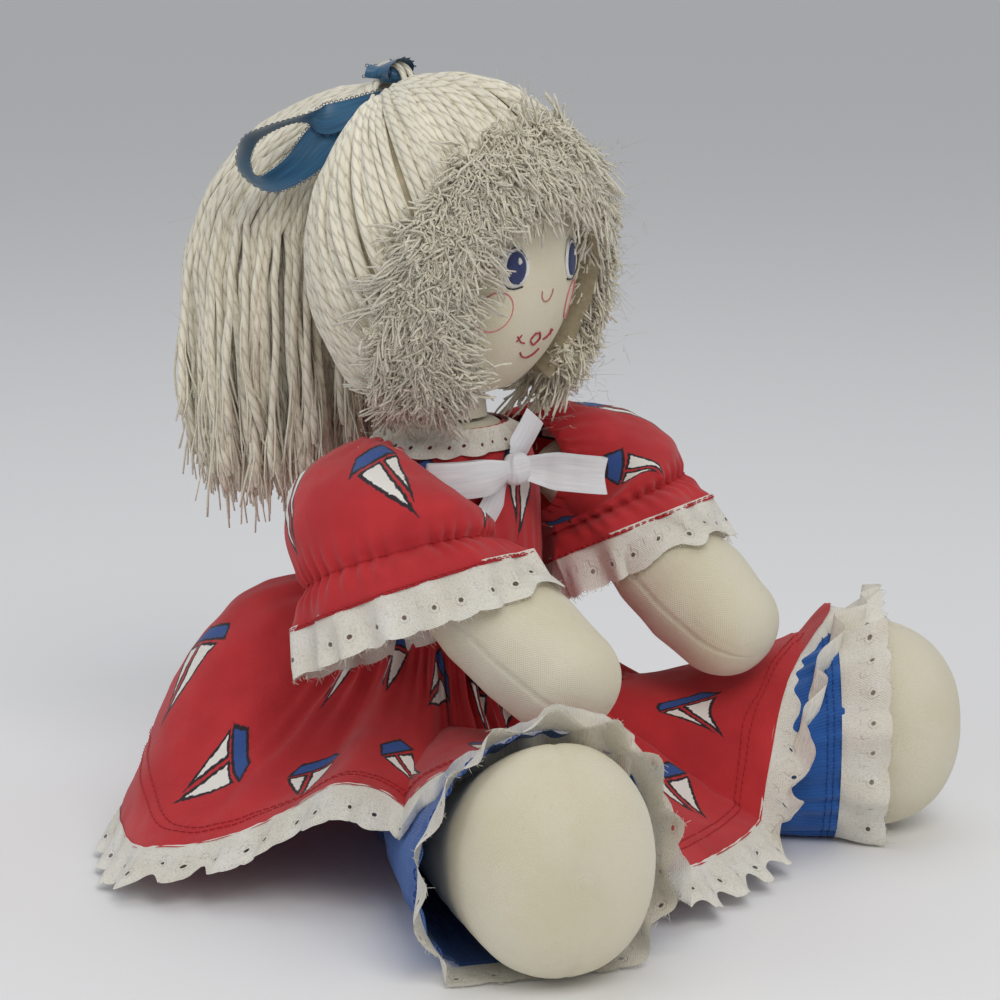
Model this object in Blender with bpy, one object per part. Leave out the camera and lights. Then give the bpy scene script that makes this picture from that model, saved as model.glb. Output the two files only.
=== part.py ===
"""Rag doll that sits on the floor: stuffed muslin body, yarn hair, dress and pantaloons.

The doll looks along -Y and sits with its seat on the ground at the origin. Its right side is -X.
"""
import math

import bmesh
import bpy
from mathutils import Matrix, Vector

# Cloth and clearances, in metres
rest_gap = 0.0003
loose_gap = 0.0008
hair_gap = 0.0012
drape_gap = 0.0033
skin_cloth = 0.0008
dress_cloth = 0.0010
pantaloon_cloth = 0.0012
lace_cloth = 0.0008
ribbon_cloth = 0.0007
lace_drop = 0.019
overrun = 0.02

# Torso
torso_height = 0.190
torso_half_width = 0.048
torso_front = 0.037
torso_back = 0.040
seat_lift = pantaloon_cloth + rest_gap
waist_height = 0.118
collar_height = 0.1885
waist_overlap = 0.009

# Head and neck
head_centre_y = -0.003
head_centre_z = 0.262
head_half_width = 0.054
head_half_depth = 0.050
head_half_height = 0.064
nod_height = 0.2015
neck_radius = 0.0165
neck_ball = 0.0185

# Hair
cap_thickness = 0.010
cap_low_height = 0.214
fringe_centre_y = -0.034
fringe_centre_z = 0.258
fringe_half_width = 0.055
fringe_half_height = 0.054
fringe_thickness = 0.017
face_half_width = 0.043
face_half_height = 0.050
face_centre_z = 0.243
tie_y = 0.030
tie_lift = 0.0046
tie_thickness = 0.0017
ponytail_drop = 0.178
ponytail_back_length = 0.064
ponytail_half_width = 0.046
ponytail_half_depth = 0.047

# Arms
shoulder_x = 0.045
shoulder_y = -0.003
shoulder_z = 0.162
shoulder_radius = 0.0150
armhole_radius = 0.0165
arm_half_width = 0.0225
arm_half_depth = 0.0210
arm_out = 0.024
hand_x = 0.063
hand_y = -0.104
hand_z = 0.102

# Legs
hip_x = 0.042
hip_y = -0.036
hip_z = 0.038
foot_x = 0.129
foot_y = -0.153
leg_length = 0.176
leg_half_width = 0.039
leg_half_height = 0.0465
foot_dome = 0.038
cuff_flare = 0.004
cuff_ruffle = 0.0032
hip_travel = math.radians(60)
shoulder_travel = math.radians(50)

# Skirt and its lace
skirt_length = 0.100
hem_lift = 0.001
skirt_stand = 0.004
skirt_low = 0.020
lace_stand = 0.012
sleeve_lace_flare = 0.004
sleeve_lace_ruffle = 0.003
hem_lace_ruffle = 0.0035
fold_height = 0.0028

# Ribbons
bow_ribbon_width = 0.016
hair_ribbon_width = 0.020
hair_knot_half = 0.0072
hair_loop_length = 0.075
hair_loop_open = 0.0075
hair_loop_stand = 0.013
bow_knot_size = 0.0075
stud_radius = 0.0045
stud_thickness = 0.0018
placket_width = 0.016
placket_cloth = 0.0012
placket_low_share = 0.03
placket_high_share = 0.12
elastic_width = 0.005
elastic_thickness = 0.0009

level_share = 0.015

torso_sides = 18
limb_sides = 13
cloth_sides = 22
sleeve_ruffles = 12
cuff_ruffles = 12
neck_ruffles = 13
hem_ruffles = 22
skirt_folds = 11
skirt_columns = 2 * hem_ruffles

# Share of height, of half width, of front and of back, from the seat to the neck
torso_shares = (
    (0.00, 0.66, 0.66, 0.76),
    (0.05, 0.82, 0.82, 0.90),
    (0.12, 0.93, 0.93, 0.98),
    (0.21, 0.99, 0.99, 1.00),
    (0.34, 1.00, 1.00, 1.00),
    (0.48, 0.95, 0.96, 0.94),
    (0.58, 0.91, 0.92, 0.86),
    (0.66, 0.89, 0.87, 0.82),
    (0.76, 0.92, 0.83, 0.82),
    (0.85, 0.95, 0.76, 0.78),
    (0.92, 0.86, 0.68, 0.70),
    (0.965, 0.66, 0.58, 0.60),
    (1.00, 0.385, 0.50, 0.4625),
)
# Share of leg length, of half width and of half height, from inside the hip to the foot seam
leg_shares = (
    (-0.10, 0.66, 0.60),
    (0.00, 0.74, 0.64),
    (0.10, 0.80, 0.66),
    (0.25, 0.84, 0.68),
    (0.40, 0.88, 0.72),
    (0.55, 0.94, 0.82),
    (0.67, 0.99, 0.93),
    (0.78, 1.00, 1.00),
)


def clear_scene():
    for obj in list(bpy.data.objects):
        bpy.data.objects.remove(obj, do_unlink=True)


def material(name, colour, roughness=0.85, metallic=0.0):
    made = bpy.data.materials.get(name)
    if made:
        return made
    made = bpy.data.materials.new(name)
    made.use_nodes = True
    shader = made.node_tree.nodes["Principled BSDF"]
    shader.inputs["Base Color"].default_value = (*colour, 1)
    shader.inputs["Roughness"].default_value = roughness
    shader.inputs["Metallic"].default_value = metallic
    return made


def muslin():
    return material("muslin", (0.76, 0.72, 0.56))


def fibrefill():
    return material("fibrefill", (0.88, 0.88, 0.86), 0.95)


def red_cotton():
    return material("red_cotton", (0.60, 0.03, 0.04))


def blue_knit():
    return material("blue_knit", (0.02, 0.12, 0.42))


def eyelet_lace():
    return material("eyelet_lace", (0.78, 0.76, 0.68))


def white_satin():
    return material("white_satin", (0.86, 0.86, 0.85), 0.35)


def blue_satin():
    return material("blue_satin", (0.03, 0.13, 0.27), 0.4)


def cream_yarn():
    return material("cream_yarn", (0.74, 0.68, 0.50), 0.95)


def white_elastic():
    return material("white_elastic", (0.82, 0.82, 0.80), 0.7)


def nickel():
    return material("nickel", (0.60, 0.60, 0.58), 0.3, 1.0)


def add_object(name, verts, faces, finish):
    """Make one object from points and faces, with its faces turned outward."""
    mesh = bpy.data.meshes.new(name)
    mesh.from_pydata([tuple(v) for v in verts], [], faces)
    work = bmesh.new()
    work.from_mesh(mesh)
    bmesh.ops.recalc_face_normals(work, faces=work.faces)
    work.to_mesh(mesh)
    work.free()
    mesh.shade_smooth()
    mesh.set_sharp_from_angle(angle=math.radians(50))
    obj = bpy.data.objects.new(name, mesh)
    bpy.context.scene.collection.objects.link(obj)
    mesh.materials.append(finish)
    return obj


def band_faces(first, second, count):
    """Quads between two rings, given by the numbers of their first points."""
    return [(first + i, first + (i + 1) % count, second + (i + 1) % count, second + i)
            for i in range(count)]


def solid_from_rings(name, rings, finish, start_tip=None, end_tip=None):
    """A closed solid through rings, ended by tips or by flat faces."""
    count = len(rings[0])
    verts = [point for ring in rings for point in ring]
    faces = []
    for k in range(len(rings) - 1):
        faces += band_faces(k * count, (k + 1) * count, count)
    last = (len(rings) - 1) * count
    for first, tip in ((0, start_tip), (last, end_tip)):
        if tip is None:
            faces.append(tuple(range(first, first + count)))
        else:
            verts.append(tip)
            faces += [(first + i, first + (i + 1) % count, len(verts) - 1) for i in range(count)]
    return add_object(name, verts, faces, finish)


def tube_from_rings(name, outer, inner, finish):
    """A tube of cloth that is open at both ends."""
    count = len(outer[0])
    verts = [point for ring in outer + inner for point in ring]
    faces = []
    rows = len(outer)
    for k in range(rows - 1):
        faces += band_faces(k * count, (k + 1) * count, count)
        faces += band_faces((rows + k) * count, (rows + k + 1) * count, count)
    faces += band_faces(0, rows * count, count)
    faces += band_faces((rows - 1) * count, (2 * rows - 1) * count, count)
    return add_object(name, verts, faces, finish)


def cup_from_rings(name, outer, inner, finish, outer_tip=None, inner_tip=None):
    """A cup of cloth, open at its first rings and closed at its last ones."""
    count = len(outer[0])
    verts = [point for ring in outer + inner for point in ring]
    faces = []
    starts = (0, len(outer) * count)
    for start, rings, tip in ((starts[0], outer, outer_tip), (starts[1], inner, inner_tip)):
        for k in range(len(rings) - 1):
            faces += band_faces(start + k * count, start + (k + 1) * count, count)
        last = start + (len(rings) - 1) * count
        if tip is None:
            faces.append(tuple(range(last, last + count)))
        else:
            verts.append(tip)
            faces += [(last + i, last + (i + 1) % count, len(verts) - 1) for i in range(count)]
    faces += band_faces(starts[0], starts[1], count)
    return add_object(name, verts, faces, finish)


def curved_power(value, power):
    return math.copysign(abs(value) ** (2 / power), value)


def turns(count):
    """Angles around a ring, with a flat side and no corner at the bottom."""
    return [2 * math.pi * (i + 0.5) / count for i in range(count)]


def ring(centre, side, rise, count, power=2.0):
    """An oval ring: side and rise are its half axes as vectors."""
    return [centre + side * curved_power(math.cos(a), power) + rise * curved_power(math.sin(a), power)
            for a in turns(count)]


def table_at(rows, share):
    """Smooth values of a table at a share of its first column."""
    last = len(rows) - 1
    k = max(i for i in range(last) if rows[i][0] <= share or i == 0)
    span = rows[k + 1][0] - rows[k][0]
    part = min(max((share - rows[k][0]) / span, 0), 1)
    values = []
    for column in range(1, len(rows[0])):
        before = rows[max(k - 1, 0)][column]
        start = rows[k][column]
        end = rows[k + 1][column]
        after = rows[min(k + 2, last)][column]
        bend = 2 * start - 2 * end + (end - before) / 2 + (after - start) / 2
        lean = 3 * end - 3 * start - (end - before) - (after - start) / 2
        values.append(((bend * part + lean) * part + (end - before) / 2) * part + start)
    return values


def hide_cutter(obj):
    obj.hide_render = True
    obj.display_type = "WIRE"
    return obj


def cut(obj, cutter, operation="DIFFERENCE"):
    """Cut an object for good by another one."""
    modifier = obj.modifiers.new("cut", "BOOLEAN")
    modifier.operation = operation
    modifier.solver = "EXACT"
    modifier.object = cutter
    bpy.context.view_layer.update()
    graph = bpy.context.evaluated_depsgraph_get()
    result = bpy.data.meshes.new_from_object(obj.evaluated_get(graph), depsgraph=graph)
    obj.modifiers.clear()
    old = obj.data
    obj.data = result
    bpy.data.meshes.remove(old)
    result.shade_smooth()
    result.set_sharp_from_angle(angle=math.radians(50))


def turned_copy(obj, pivot, angle):
    """A copy of a cutter, turned about the left-right line through a pivot."""
    copy = bpy.data.objects.new(obj.name + "_turned", obj.data.copy())
    bpy.context.scene.collection.objects.link(copy)
    move = Matrix.Translation(pivot) @ Matrix.Rotation(angle, 4, "X") @ Matrix.Translation(-pivot)
    copy.data.transform(move)
    return hide_cutter(copy)


def cut_over_travel(obj, cutter, pivot, travel, steps=2):
    """Cut an object where the cutter would be over the whole travel of its joint."""
    for k in range(steps + 1):
        turned = turned_copy(cutter, pivot, travel * k / steps)
        cut(obj, turned)
        bpy.data.objects.remove(turned, do_unlink=True)


# Torso

def torso_point(share, angle, outset):
    width, front, back = table_at(torso_shares, share)
    side = curved_power(math.cos(angle), 2.3)
    rise = curved_power(math.sin(angle), 2.3)
    depth = torso_back * back if rise > 0 else torso_front * front
    flat = Vector((torso_half_width * width * side, depth * rise, 0))
    flat += flat.normalized() * outset
    height = seat_lift + (torso_height - seat_lift) * share
    return flat + Vector((0, 0, height))


def torso_ring(share, outset):
    return [torso_point(share, angle, outset) for angle in turns(torso_sides)]


def torso_share(height):
    return (height - seat_lift) / (torso_height - seat_lift)


def torso_levels():
    """Shares of height where every ring of the torso and of its clothes lies."""
    edges = [torso_share(waist_height), torso_share(collar_height)]
    kept = [row[0] for row in torso_shares if min(abs(row[0] - edge) for edge in edges) > level_share]
    return sorted(kept + edges + [1.0])


def shares_between(low, high):
    """The torso's own levels between two of them, with both."""
    return [share for share in torso_levels() if low - level_share / 9 < share < high + level_share / 9]


def make_torso():
    shares = torso_levels()[::-1]
    outer = [torso_ring(share, 0) for share in shares]
    inner = [torso_ring(share, -skin_cloth) for share in shares]
    floor = Vector((0, 0, skin_cloth))
    inner[-1] = [point + floor for point in inner[-1]]
    cup_from_rings("torso_skin", outer, inner, muslin())
    core = [torso_ring(share, -skin_cloth - rest_gap) for share in shares]
    core[-1] = [point + floor + Vector((0, 0, rest_gap)) for point in core[-1]]
    solid_from_rings("torso_stuffing", core, fibrefill())


def torso_form(name, outset):
    """The torso as one solid, for cutting what lies against it."""
    rings = [torso_ring(share, outset) for share in torso_levels()]
    return hide_cutter(solid_from_rings(name, rings, muslin()))



# Head and neck

def head_ring(sweep, outset, count=torso_sides):
    """A level ring of the head at an angle from the top, spread by an outset."""
    centre = Vector((0, head_centre_y, head_centre_z + (head_half_height + outset) * math.cos(sweep)))
    reach = math.sin(sweep)
    side = Vector(((head_half_width + outset) * reach, 0, 0))
    return ring(centre, side, Vector((0, (head_half_depth + outset) * reach, 0)), count, 2.15)


def head_tip(outset):
    return Vector((0, head_centre_y, head_centre_z + head_half_height + outset))


def head_sweeps(outset, low_height, rows=9):
    """Angles from a low height up to just under the crown."""
    low = math.acos(max((low_height - head_centre_z) / (head_half_height + outset), -0.93))
    high = math.radians(14)
    return [low + (high - low) * k / (rows - 1) for k in range(rows)]


def head_form(name, outset):
    """The whole head as one solid, for cutting what lies against it."""
    sweeps = [math.radians(8 + 164 * k / 12) for k in range(13)]
    low_tip = Vector((0, head_centre_y, head_centre_z - head_half_height - outset))
    rings = [head_ring(sweep, outset) for sweep in sweeps]
    form = solid_from_rings(name, rings, muslin(), head_tip(outset), low_tip)
    return hide_cutter(form)


def make_head():
    sweeps = head_sweeps(0, nod_height)
    outer = [head_ring(sweep, 0) for sweep in sweeps]
    inner = [head_ring(sweep, -skin_cloth) for sweep in sweeps]
    skin = cup_from_rings("head_skin", outer, inner, muslin(), head_tip(0), head_tip(-skin_cloth))
    inset = -skin_cloth - rest_gap
    core = [head_ring(sweep, inset) for sweep in sweeps]
    stuffing = solid_from_rings("head_stuffing", core, fibrefill(), None, head_tip(inset))
    hole = ball("neck_socket", Vector((0, 0, nod_height)), neck_ball + loose_gap)
    cut(stuffing, hole)
    cut(skin, hole)
    bpy.data.objects.remove(hole, do_unlink=True)


def ball(name, centre, radius, rows=6, count=14):
    angles = [math.pi * (k + 1) / (rows + 1) for k in range(rows)]
    rings = [ring(centre + Vector((0, 0, radius * math.cos(a))), Vector((radius * math.sin(a), 0, 0)),
                  Vector((0, radius * math.sin(a), 0)), count) for a in angles]
    up = Vector((0, 0, radius))
    return hide_cutter(solid_from_rings(name, rings, muslin(), centre + up, centre - up))


def make_neck():
    """The stuffed neck stands on the torso and ends in a round top inside the head."""
    base = torso_height + rest_gap
    shares = ((0, 1.0), (0.45, 0.94), (0.8, 0.98), (1, 1.0))
    rings = []
    for share, wide in shares:
        height = base + (nod_height - base) * share
        reach = neck_radius * wide
        centre = Vector((0, 0, height))
        rings.append(ring(centre, Vector((reach, 0, 0)), Vector((0, reach, 0)), limb_sides))
    for k in range(1, 4):
        angle = math.radians(22 * k)
        reach = neck_radius * math.cos(angle)
        centre = Vector((0, 0, nod_height + neck_ball * math.sin(angle)))
        rings.append(ring(centre, Vector((reach, 0, 0)), Vector((0, reach, 0)), limb_sides))
    solid_from_rings("neck", rings, muslin(), None, Vector((0, 0, nod_height + neck_ball)))


# Hair

def make_hair_cap():
    """The cap of laid yarn over the crown, the sides and the back of the head."""
    low = head_sweeps(0, cap_low_height)
    outer = [head_ring(sweep, cap_thickness) for sweep in low]
    inner = [head_ring(sweep, loose_gap) for sweep in low]
    outer_tip = head_tip(cap_thickness)
    inner_tip = head_tip(loose_gap)
    cap = cup_from_rings("hair_cap", outer, inner, cream_yarn(), outer_tip, inner_tip)
    front = Vector((0, head_centre_y - head_half_depth - overrun, face_centre_z))
    back = Vector((0, head_centre_y - head_half_depth * 0.35, face_centre_z))
    rings = [ring(place, Vector((face_half_width, 0, 0)), Vector((0, 0, face_half_height)), 24)
             for place in (front, back)]
    window = hide_cutter(solid_from_rings("face_window", rings, muslin()))
    cut(cap, window)
    bpy.data.objects.remove(window, do_unlink=True)


def make_fringe():
    """The bushy cut fringe, a thick horseshoe round the face."""
    rings = []
    rows = 15
    start = math.radians(-52)
    sweep = math.pi - 2 * start
    for k in range(rows):
        angle = start + sweep * k / (rows - 1)
        out = Vector((math.cos(angle), 0, math.sin(angle)))
        height = fringe_centre_z + fringe_half_height * out.z
        centre = Vector((fringe_half_width * out.x, fringe_centre_y, height))
        share = 0.66 + 0.34 * math.sin(math.pi * k / (rows - 1)) ** 0.6
        deep = Vector((0, -1.15 * fringe_thickness * share, 0))
        rings.append(ring(centre, out * fringe_thickness * share, deep, 12))
    fringe = solid_from_rings("hair_fringe", rings, cream_yarn())
    form = head_form("hair_form", cap_thickness + hair_gap)
    cut(fringe, form)
    bpy.data.objects.remove(form, do_unlink=True)


def tie_point():
    return Vector((0, tie_y, hair_top(tie_y) + tie_lift))


def hair_top(y):
    """Height of the cap's outside on the middle line."""
    part = (y - head_centre_y) / (head_half_depth + cap_thickness)
    return head_centre_z + (head_half_height + cap_thickness) * math.sqrt(1 - part * part)


ponytail_shares = (
    (0.05, 0.03, 0.23, 0.22, 20),
    (0.34, 0.10, 0.44, 0.38, 45),
    (0.75, 0.17, 0.76, 0.72, 62),
    (0.93, 0.23, 0.92, 0.90, 76),
    (1.00, 0.385, 1.00, 1.00, 88),
    (1.00, 0.60, 1.00, 1.00, 93),
    (0.97, 0.80, 0.92, 0.92, 95),
    (0.95, 0.93, 0.76, 0.72, 95),
)

ponytail_tip_share = 0.93


def make_ponytail():
    """The single high ponytail: it swells from its tie and hangs down the back."""
    tie = tie_point()
    rings = []
    for back, down, wide, deep, tilt in ponytail_shares:
        lean = math.radians(tilt)
        centre = tie + Vector((0, ponytail_back_length * back, -ponytail_drop * down))
        rise = Vector((0, math.sin(lean), math.cos(lean))) * ponytail_half_depth * deep
        rings.append(ring(centre, Vector((ponytail_half_width * wide, 0, 0)), rise, 20))
    tip = tie + Vector((0, ponytail_back_length * ponytail_tip_share, -ponytail_drop))
    tail = solid_from_rings("ponytail", rings, cream_yarn(), None, tip)
    form = head_form("hair_form", cap_thickness + hair_gap)
    cut(tail, form)
    bpy.data.objects.remove(form, do_unlink=True)
    return tail


def ribbon(name, path, across, width, finish):
    """A flat strip along a path; across gives its width direction at each point."""
    rings = []
    for k, place in enumerate(path):
        before = path[max(k - 1, 0)]
        after = path[min(k + 1, len(path) - 1)]
        along = (after - before).normalized()
        wide = (across[k] - along * across[k].dot(along)).normalized()
        up = along.cross(wide) * ribbon_cloth / 2
        side = wide * width[k] / 2
        rings.append([place - side - up, place + side - up, place + side + up, place - side + up])
    return solid_from_rings(name, rings, finish)


def make_tie():
    """The yarn tie round the ponytail's root."""
    back, down, wide, deep, tilt = ponytail_shares[0]
    lean = math.radians(tilt)
    centre = tie_point() + Vector((0, ponytail_back_length * back, -ponytail_drop * down))
    rise = Vector((0, math.sin(lean), math.cos(lean)))
    along = Vector((0, math.cos(lean), -math.sin(lean)))
    major = ponytail_half_width * wide + tie_thickness + 2 * loose_gap
    rings = []
    count = 20
    for a in turns(count):
        out = Vector((math.cos(a), 0, 0)) + rise * math.sin(a)
        rings.append(ring(centre + out * major, out * tie_thickness, along * tie_thickness, 6))
    tie = closed_band("ponytail_tie", rings, cream_yarn())
    form = head_form("hair_form", cap_thickness + hair_gap)
    cut(tie, form)
    bpy.data.objects.remove(form, do_unlink=True)


def closed_band(name, rings, finish):
    """A solid that closes on itself, such as a tie or an elastic."""
    count = len(rings[0])
    verts = [point for one in rings for point in one]
    faces = []
    for k in range(len(rings)):
        faces += band_faces(k * count, (k + 1) % len(rings) * count, count)
    return add_object(name, verts, faces, finish)


def block(name, centre, half_x, half_y, half_z, finish, rows=7, count=12):
    """A small rounded block, such as a ribbon's knot."""
    rings = []
    for k in range(1, rows):
        angle = math.pi * k / rows
        reach = math.sin(angle) ** 0.55
        place = centre + Vector((0, 0, half_z * math.cos(angle)))
        side = Vector((half_x * reach, 0, 0))
        ahead = Vector((0, half_y * reach, 0))
        rings.append(ring(place, side, ahead, count, 2.8))
    up = Vector((0, 0, half_z))
    return solid_from_rings(name, rings, finish, centre + up, centre - up)


def loop_path(start, reach, rise, count=18):
    """A teardrop from a knot, out along reach and back, opened by rise."""
    points = []
    for k in range(count + 1):
        turn = 2 * math.pi * (0.06 + 0.88 * k / count)
        out = (1 - math.cos(turn)) / 2
        points.append(start + reach * out + rise * math.sin(turn) * math.sin(turn / 2))
    return points


hair_knot_shares = Vector((1.0, 0.88, 0.68))
hair_loop_shares = Vector((0.52, 0.62, -0.585))
hair_loop_width_shares = Vector((0.196, -0.54, -0.823))


def make_hair_ribbon():
    """The ribbon at the ponytail's root: a knot, and a loop lying along each side of the tail."""
    back, down, wide, deep, tilt = ponytail_shares[0]
    knot_half = hair_knot_shares * hair_knot_half
    lean = math.radians(tilt)
    rise = Vector((0, math.sin(lean), math.cos(lean)))
    top = ponytail_half_width * wide + 2 * tie_thickness + 2 * loose_gap + rest_gap
    knot = tie_point() + Vector((0, ponytail_back_length * back, -ponytail_drop * down))
    knot += rise * (top + knot_half.z)
    block("hair_ribbon_knot", knot, knot_half.x, knot_half.y, knot_half.z, blue_satin())
    turns_of_loop = 18
    for name, m in (("hair_ribbon_loop_near", -1), ("hair_ribbon_loop_far", 1)):
        reach = side_vector(m, *hair_loop_shares) * hair_loop_length
        across = side_vector(-m, *hair_loop_width_shares)
        rise = across.cross(reach).normalized() * m
        start = knot + Vector((m * (knot_half.x + rest_gap), knot_half.y * 0.5, 0))
        path = loop_path(start, reach, rise * hair_loop_open, turns_of_loop)
        widths = []
        for k, place in enumerate(path):
            part = math.sin(math.pi * k / turns_of_loop)
            place += rise * hair_loop_stand * part
            widths.append(hair_ribbon_width * (0.25 + 0.75 * min(1, 2.6 * part)))
        ribbon(name, path, [across] * len(path), widths, blue_satin())


# Arms and sleeves

def side_vector(m, x, y, z):
    return Vector((m * x, y, z))


def arm_solid(name, m, inset, count=limb_sides):
    """One arm as a solid: round at the shoulder, swelling, with a round hand."""
    shoulder = side_vector(m, shoulder_x + arm_out, shoulder_y, shoulder_z)
    hand = side_vector(m, hand_x, hand_y, hand_z)
    along = (hand - shoulder)
    length = along.length
    along.normalize()
    side = Vector((0, 0, 1)).cross(along).normalized()
    rise = along.cross(side)
    rows = ((0.0, 0.66), (0.2, 0.72), (0.42, 0.88), (0.65, 1.0), (0.86, 1.0), (1.0, 0.97))
    rings = []

    def add(place, wide):
        rings.append(ring(place, side * (arm_half_width * wide - inset),
                          rise * (arm_half_depth * wide - inset), count))

    for k in range(3, 0, -1):
        angle = math.radians(24 * k)
        place = shoulder - along * (arm_half_depth * rows[0][1] - inset) * math.sin(angle)
        rings.append(ring(place, side * (arm_half_width * rows[0][1] - inset) * math.cos(angle),
                          rise * (arm_half_depth * rows[0][1] - inset) * math.cos(angle), count))
    for share, wide in rows:
        add(shoulder + along * length * share, wide)
    for k in range(1, 4):
        angle = math.radians(23 * k)
        reach = math.cos(angle)
        place = hand + along * (arm_half_width * rows[-1][1] - inset) * math.sin(angle)
        rings.append(ring(place, side * (arm_half_width * rows[-1][1] - inset) * reach,
                          rise * (arm_half_depth * rows[-1][1] - inset) * reach, count))
    start = shoulder - along * (arm_half_depth * rows[0][1] - inset)
    end = hand + along * (arm_half_width * rows[-1][1] - inset)
    solid = solid_from_rings(name, rings, muslin(), start, end)
    pivot = Vector((0, shoulder_y, shoulder_z))
    form = torso_form("dress_form", dress_outset() + dress_cloth + 3 * loose_gap + inset)
    cut_over_travel(solid, form, pivot, shoulder_travel)
    bpy.data.objects.remove(form, do_unlink=True)
    root = stub("arm_root", m, shoulder_radius - inset, torso_half_width * 0.55, shoulder_x + arm_out)
    cut(solid, root, "UNION")
    bpy.data.objects.remove(root, do_unlink=True)
    return solid


def dress_outset():
    return loose_gap + dress_cloth


def stub(name, m, radius, near, far):
    """A round plug along the left-right line of the shoulder."""
    up = Vector((0, 0, radius))
    rings = [ring(side_vector(m, x, shoulder_y, shoulder_z), Vector((0, radius, 0)), up, limb_sides)
             for x in (near, (near + far) / 2, far)]
    return hide_cutter(solid_from_rings(name, rings, muslin()))


def make_arm(side_name, m):
    pivot = Vector((0, shoulder_y, shoulder_z))
    skin = arm_solid("arm_skin_" + side_name, m, 0)
    hollow = hide_cutter(arm_solid("arm_hollow", m, skin_cloth))
    stuffing = arm_solid("arm_stuffing_" + side_name, m, skin_cloth + rest_gap)
    body = torso_form("torso_form", loose_gap)
    cut_over_travel(skin, body, pivot, shoulder_travel)
    cut_over_travel(stuffing, body, pivot, shoulder_travel)
    cut(skin, hollow)
    stuffing.data.materials.clear()
    stuffing.data.materials.append(fibrefill())
    for spare in (hollow, body):
        bpy.data.objects.remove(spare, do_unlink=True)


sleeve_length = 0.050
# Rings of the sleeve from the armhole to the mouth: place from the shoulder and half axes, as
# shares of the sleeve's reach, with each ring's direction between
sleeve_shares = (
    ((0.06, 0.00, -0.02), (1.00, 0.00, 0.00), 0.47, 0.45),
    ((0.26, -0.08, 0.02), (0.93, -0.15, -0.32), 0.575, 0.66),
    ((0.48, -0.22, -0.04), (0.72, -0.28, -0.60), 0.68, 0.91),
    ((0.62, -0.40, -0.20), (0.35, -0.38, -0.84), 0.86, 1.00),
    ((0.65, -0.52, -0.44), (0.12, -0.42, -0.90), 0.84, 0.98),
    ((0.66, -0.66, -0.68), (0.05, -0.42, -0.91), 0.86, 1.18),
)
mouth_lead = Vector((-0.352, -0.936, 0))


def beside_torso(point, m, inset, stand):
    """Move a point of a sleeve out of the dressed torso, and off the way of the arm's travel."""
    out = dress_outset() + loose_gap + stand
    depth = (torso_back if point.y > 0 else torso_front) + out
    part = min(abs(point.y) / depth, 1)
    limit = (torso_half_width + out) * (1 - part ** 2.3) ** (1 / 2.3)
    if point.z > shoulder_z:
        limit = torso_half_width + out
    return Vector((m * max(m * point.x, limit + inset), point.y, point.z))


def sleeve_row(row):
    """One ring of the sleeve in real sizes."""
    place, direction, half_side, half_long = row
    centre = Vector((shoulder_x, shoulder_y, shoulder_z)) + Vector(place) * sleeve_length
    return centre, direction, half_side * sleeve_length, half_long * sleeve_length


def oval_at(m, row, inset, count, ruffle=0, waves=0, stand=0):
    place, direction, half_side, half_long = row
    centre = side_vector(m, *place)
    normal = side_vector(m, *direction).normalized()
    lead = side_vector(m, *mouth_lead)
    lead = (lead - normal * lead.dot(normal)).normalized()
    side = normal.cross(lead)
    points = []
    for a in turns(count):
        wave = ruffle * math.sin(waves * a)
        point = (centre + side * math.cos(a) * (half_side - inset + wave)
                 + lead * math.sin(a) * (half_long - inset + wave))
        points.append(beside_torso(point, m, inset, stand))
    return points


def keep_ahead(m, grid, rings, step):
    """Keep each ring at least a step past the one before it, where the tube bends sharply."""
    for k in range(1, len(grid)):
        lead = side_vector(m, *rings[k - 1][1]).normalized() + side_vector(m, *rings[k][1]).normalized()
        lead.normalize()
        for i, point in enumerate(grid[k]):
            short = step - (point - grid[k - 1][i]).dot(lead)
            if short > 0:
                grid[k][i] = point + lead * short
    return grid


def make_sleeve(side_name, m):
    rings = [sleeve_row(row) for row in sleeve_shares]
    step = 2 * dress_cloth
    outer = keep_ahead(m, [oval_at(m, row, 0, cloth_sides) for row in rings], rings, step)
    inner = []
    for one in outer:
        middle = sum(one, Vector()) / cloth_sides
        inner.append([point + (middle - point).normalized() * dress_cloth for point in one])
    tube_from_rings("sleeve_" + side_name, outer, inner, red_cotton())
    count = 4 * sleeve_ruffles
    mouth, direction, half_side, half_long = rings[-1]
    down = Vector(direction).normalized()
    rows = []
    for drop, spread, ruffle in ((loose_gap, 0, 0), (lace_drop, sleeve_lace_flare, sleeve_lace_ruffle)):
        place = mouth + down * drop
        rows.append(((place, direction, half_side, half_long + spread), ruffle))
    edge = [oval_at(m, row, 0, count, ruffle, sleeve_ruffles, lace_stand) for row, ruffle in rows]
    back = [oval_at(m, row, lace_cloth, count, ruffle, sleeve_ruffles, lace_stand) for row, ruffle in rows]
    tube_from_rings("sleeve_lace_" + side_name, edge, back, eyelet_lace())
    middle = sum(inner[4], Vector()) / cloth_sides
    bands = []
    for i, point in enumerate(inner[4]):
        inward = (middle - point).normalized()
        edges = []
        for beside in (inner[3][i], inner[5][i]):
            away = beside - point
            edges.append(point + away * min(elastic_width / 2 / away.length, 0.8) + inward * hair_gap)
        bands.append([edges[0], edges[1], edges[1] + inward * elastic_thickness,
                      edges[0] + inward * elastic_thickness])
    closed_band("sleeve_elastic_" + side_name, bands, white_elastic())


# Legs and pantaloons

def leg_frame(m):
    """The hip, and the leg's directions: along it, to its side and up."""
    hip = side_vector(m, hip_x, hip_y, 0)
    foot = side_vector(m, foot_x, foot_y, 0)
    along = (foot - hip).normalized()
    side = Vector((0, 0, 1)).cross(along).normalized()
    return hip, along, side


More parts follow.
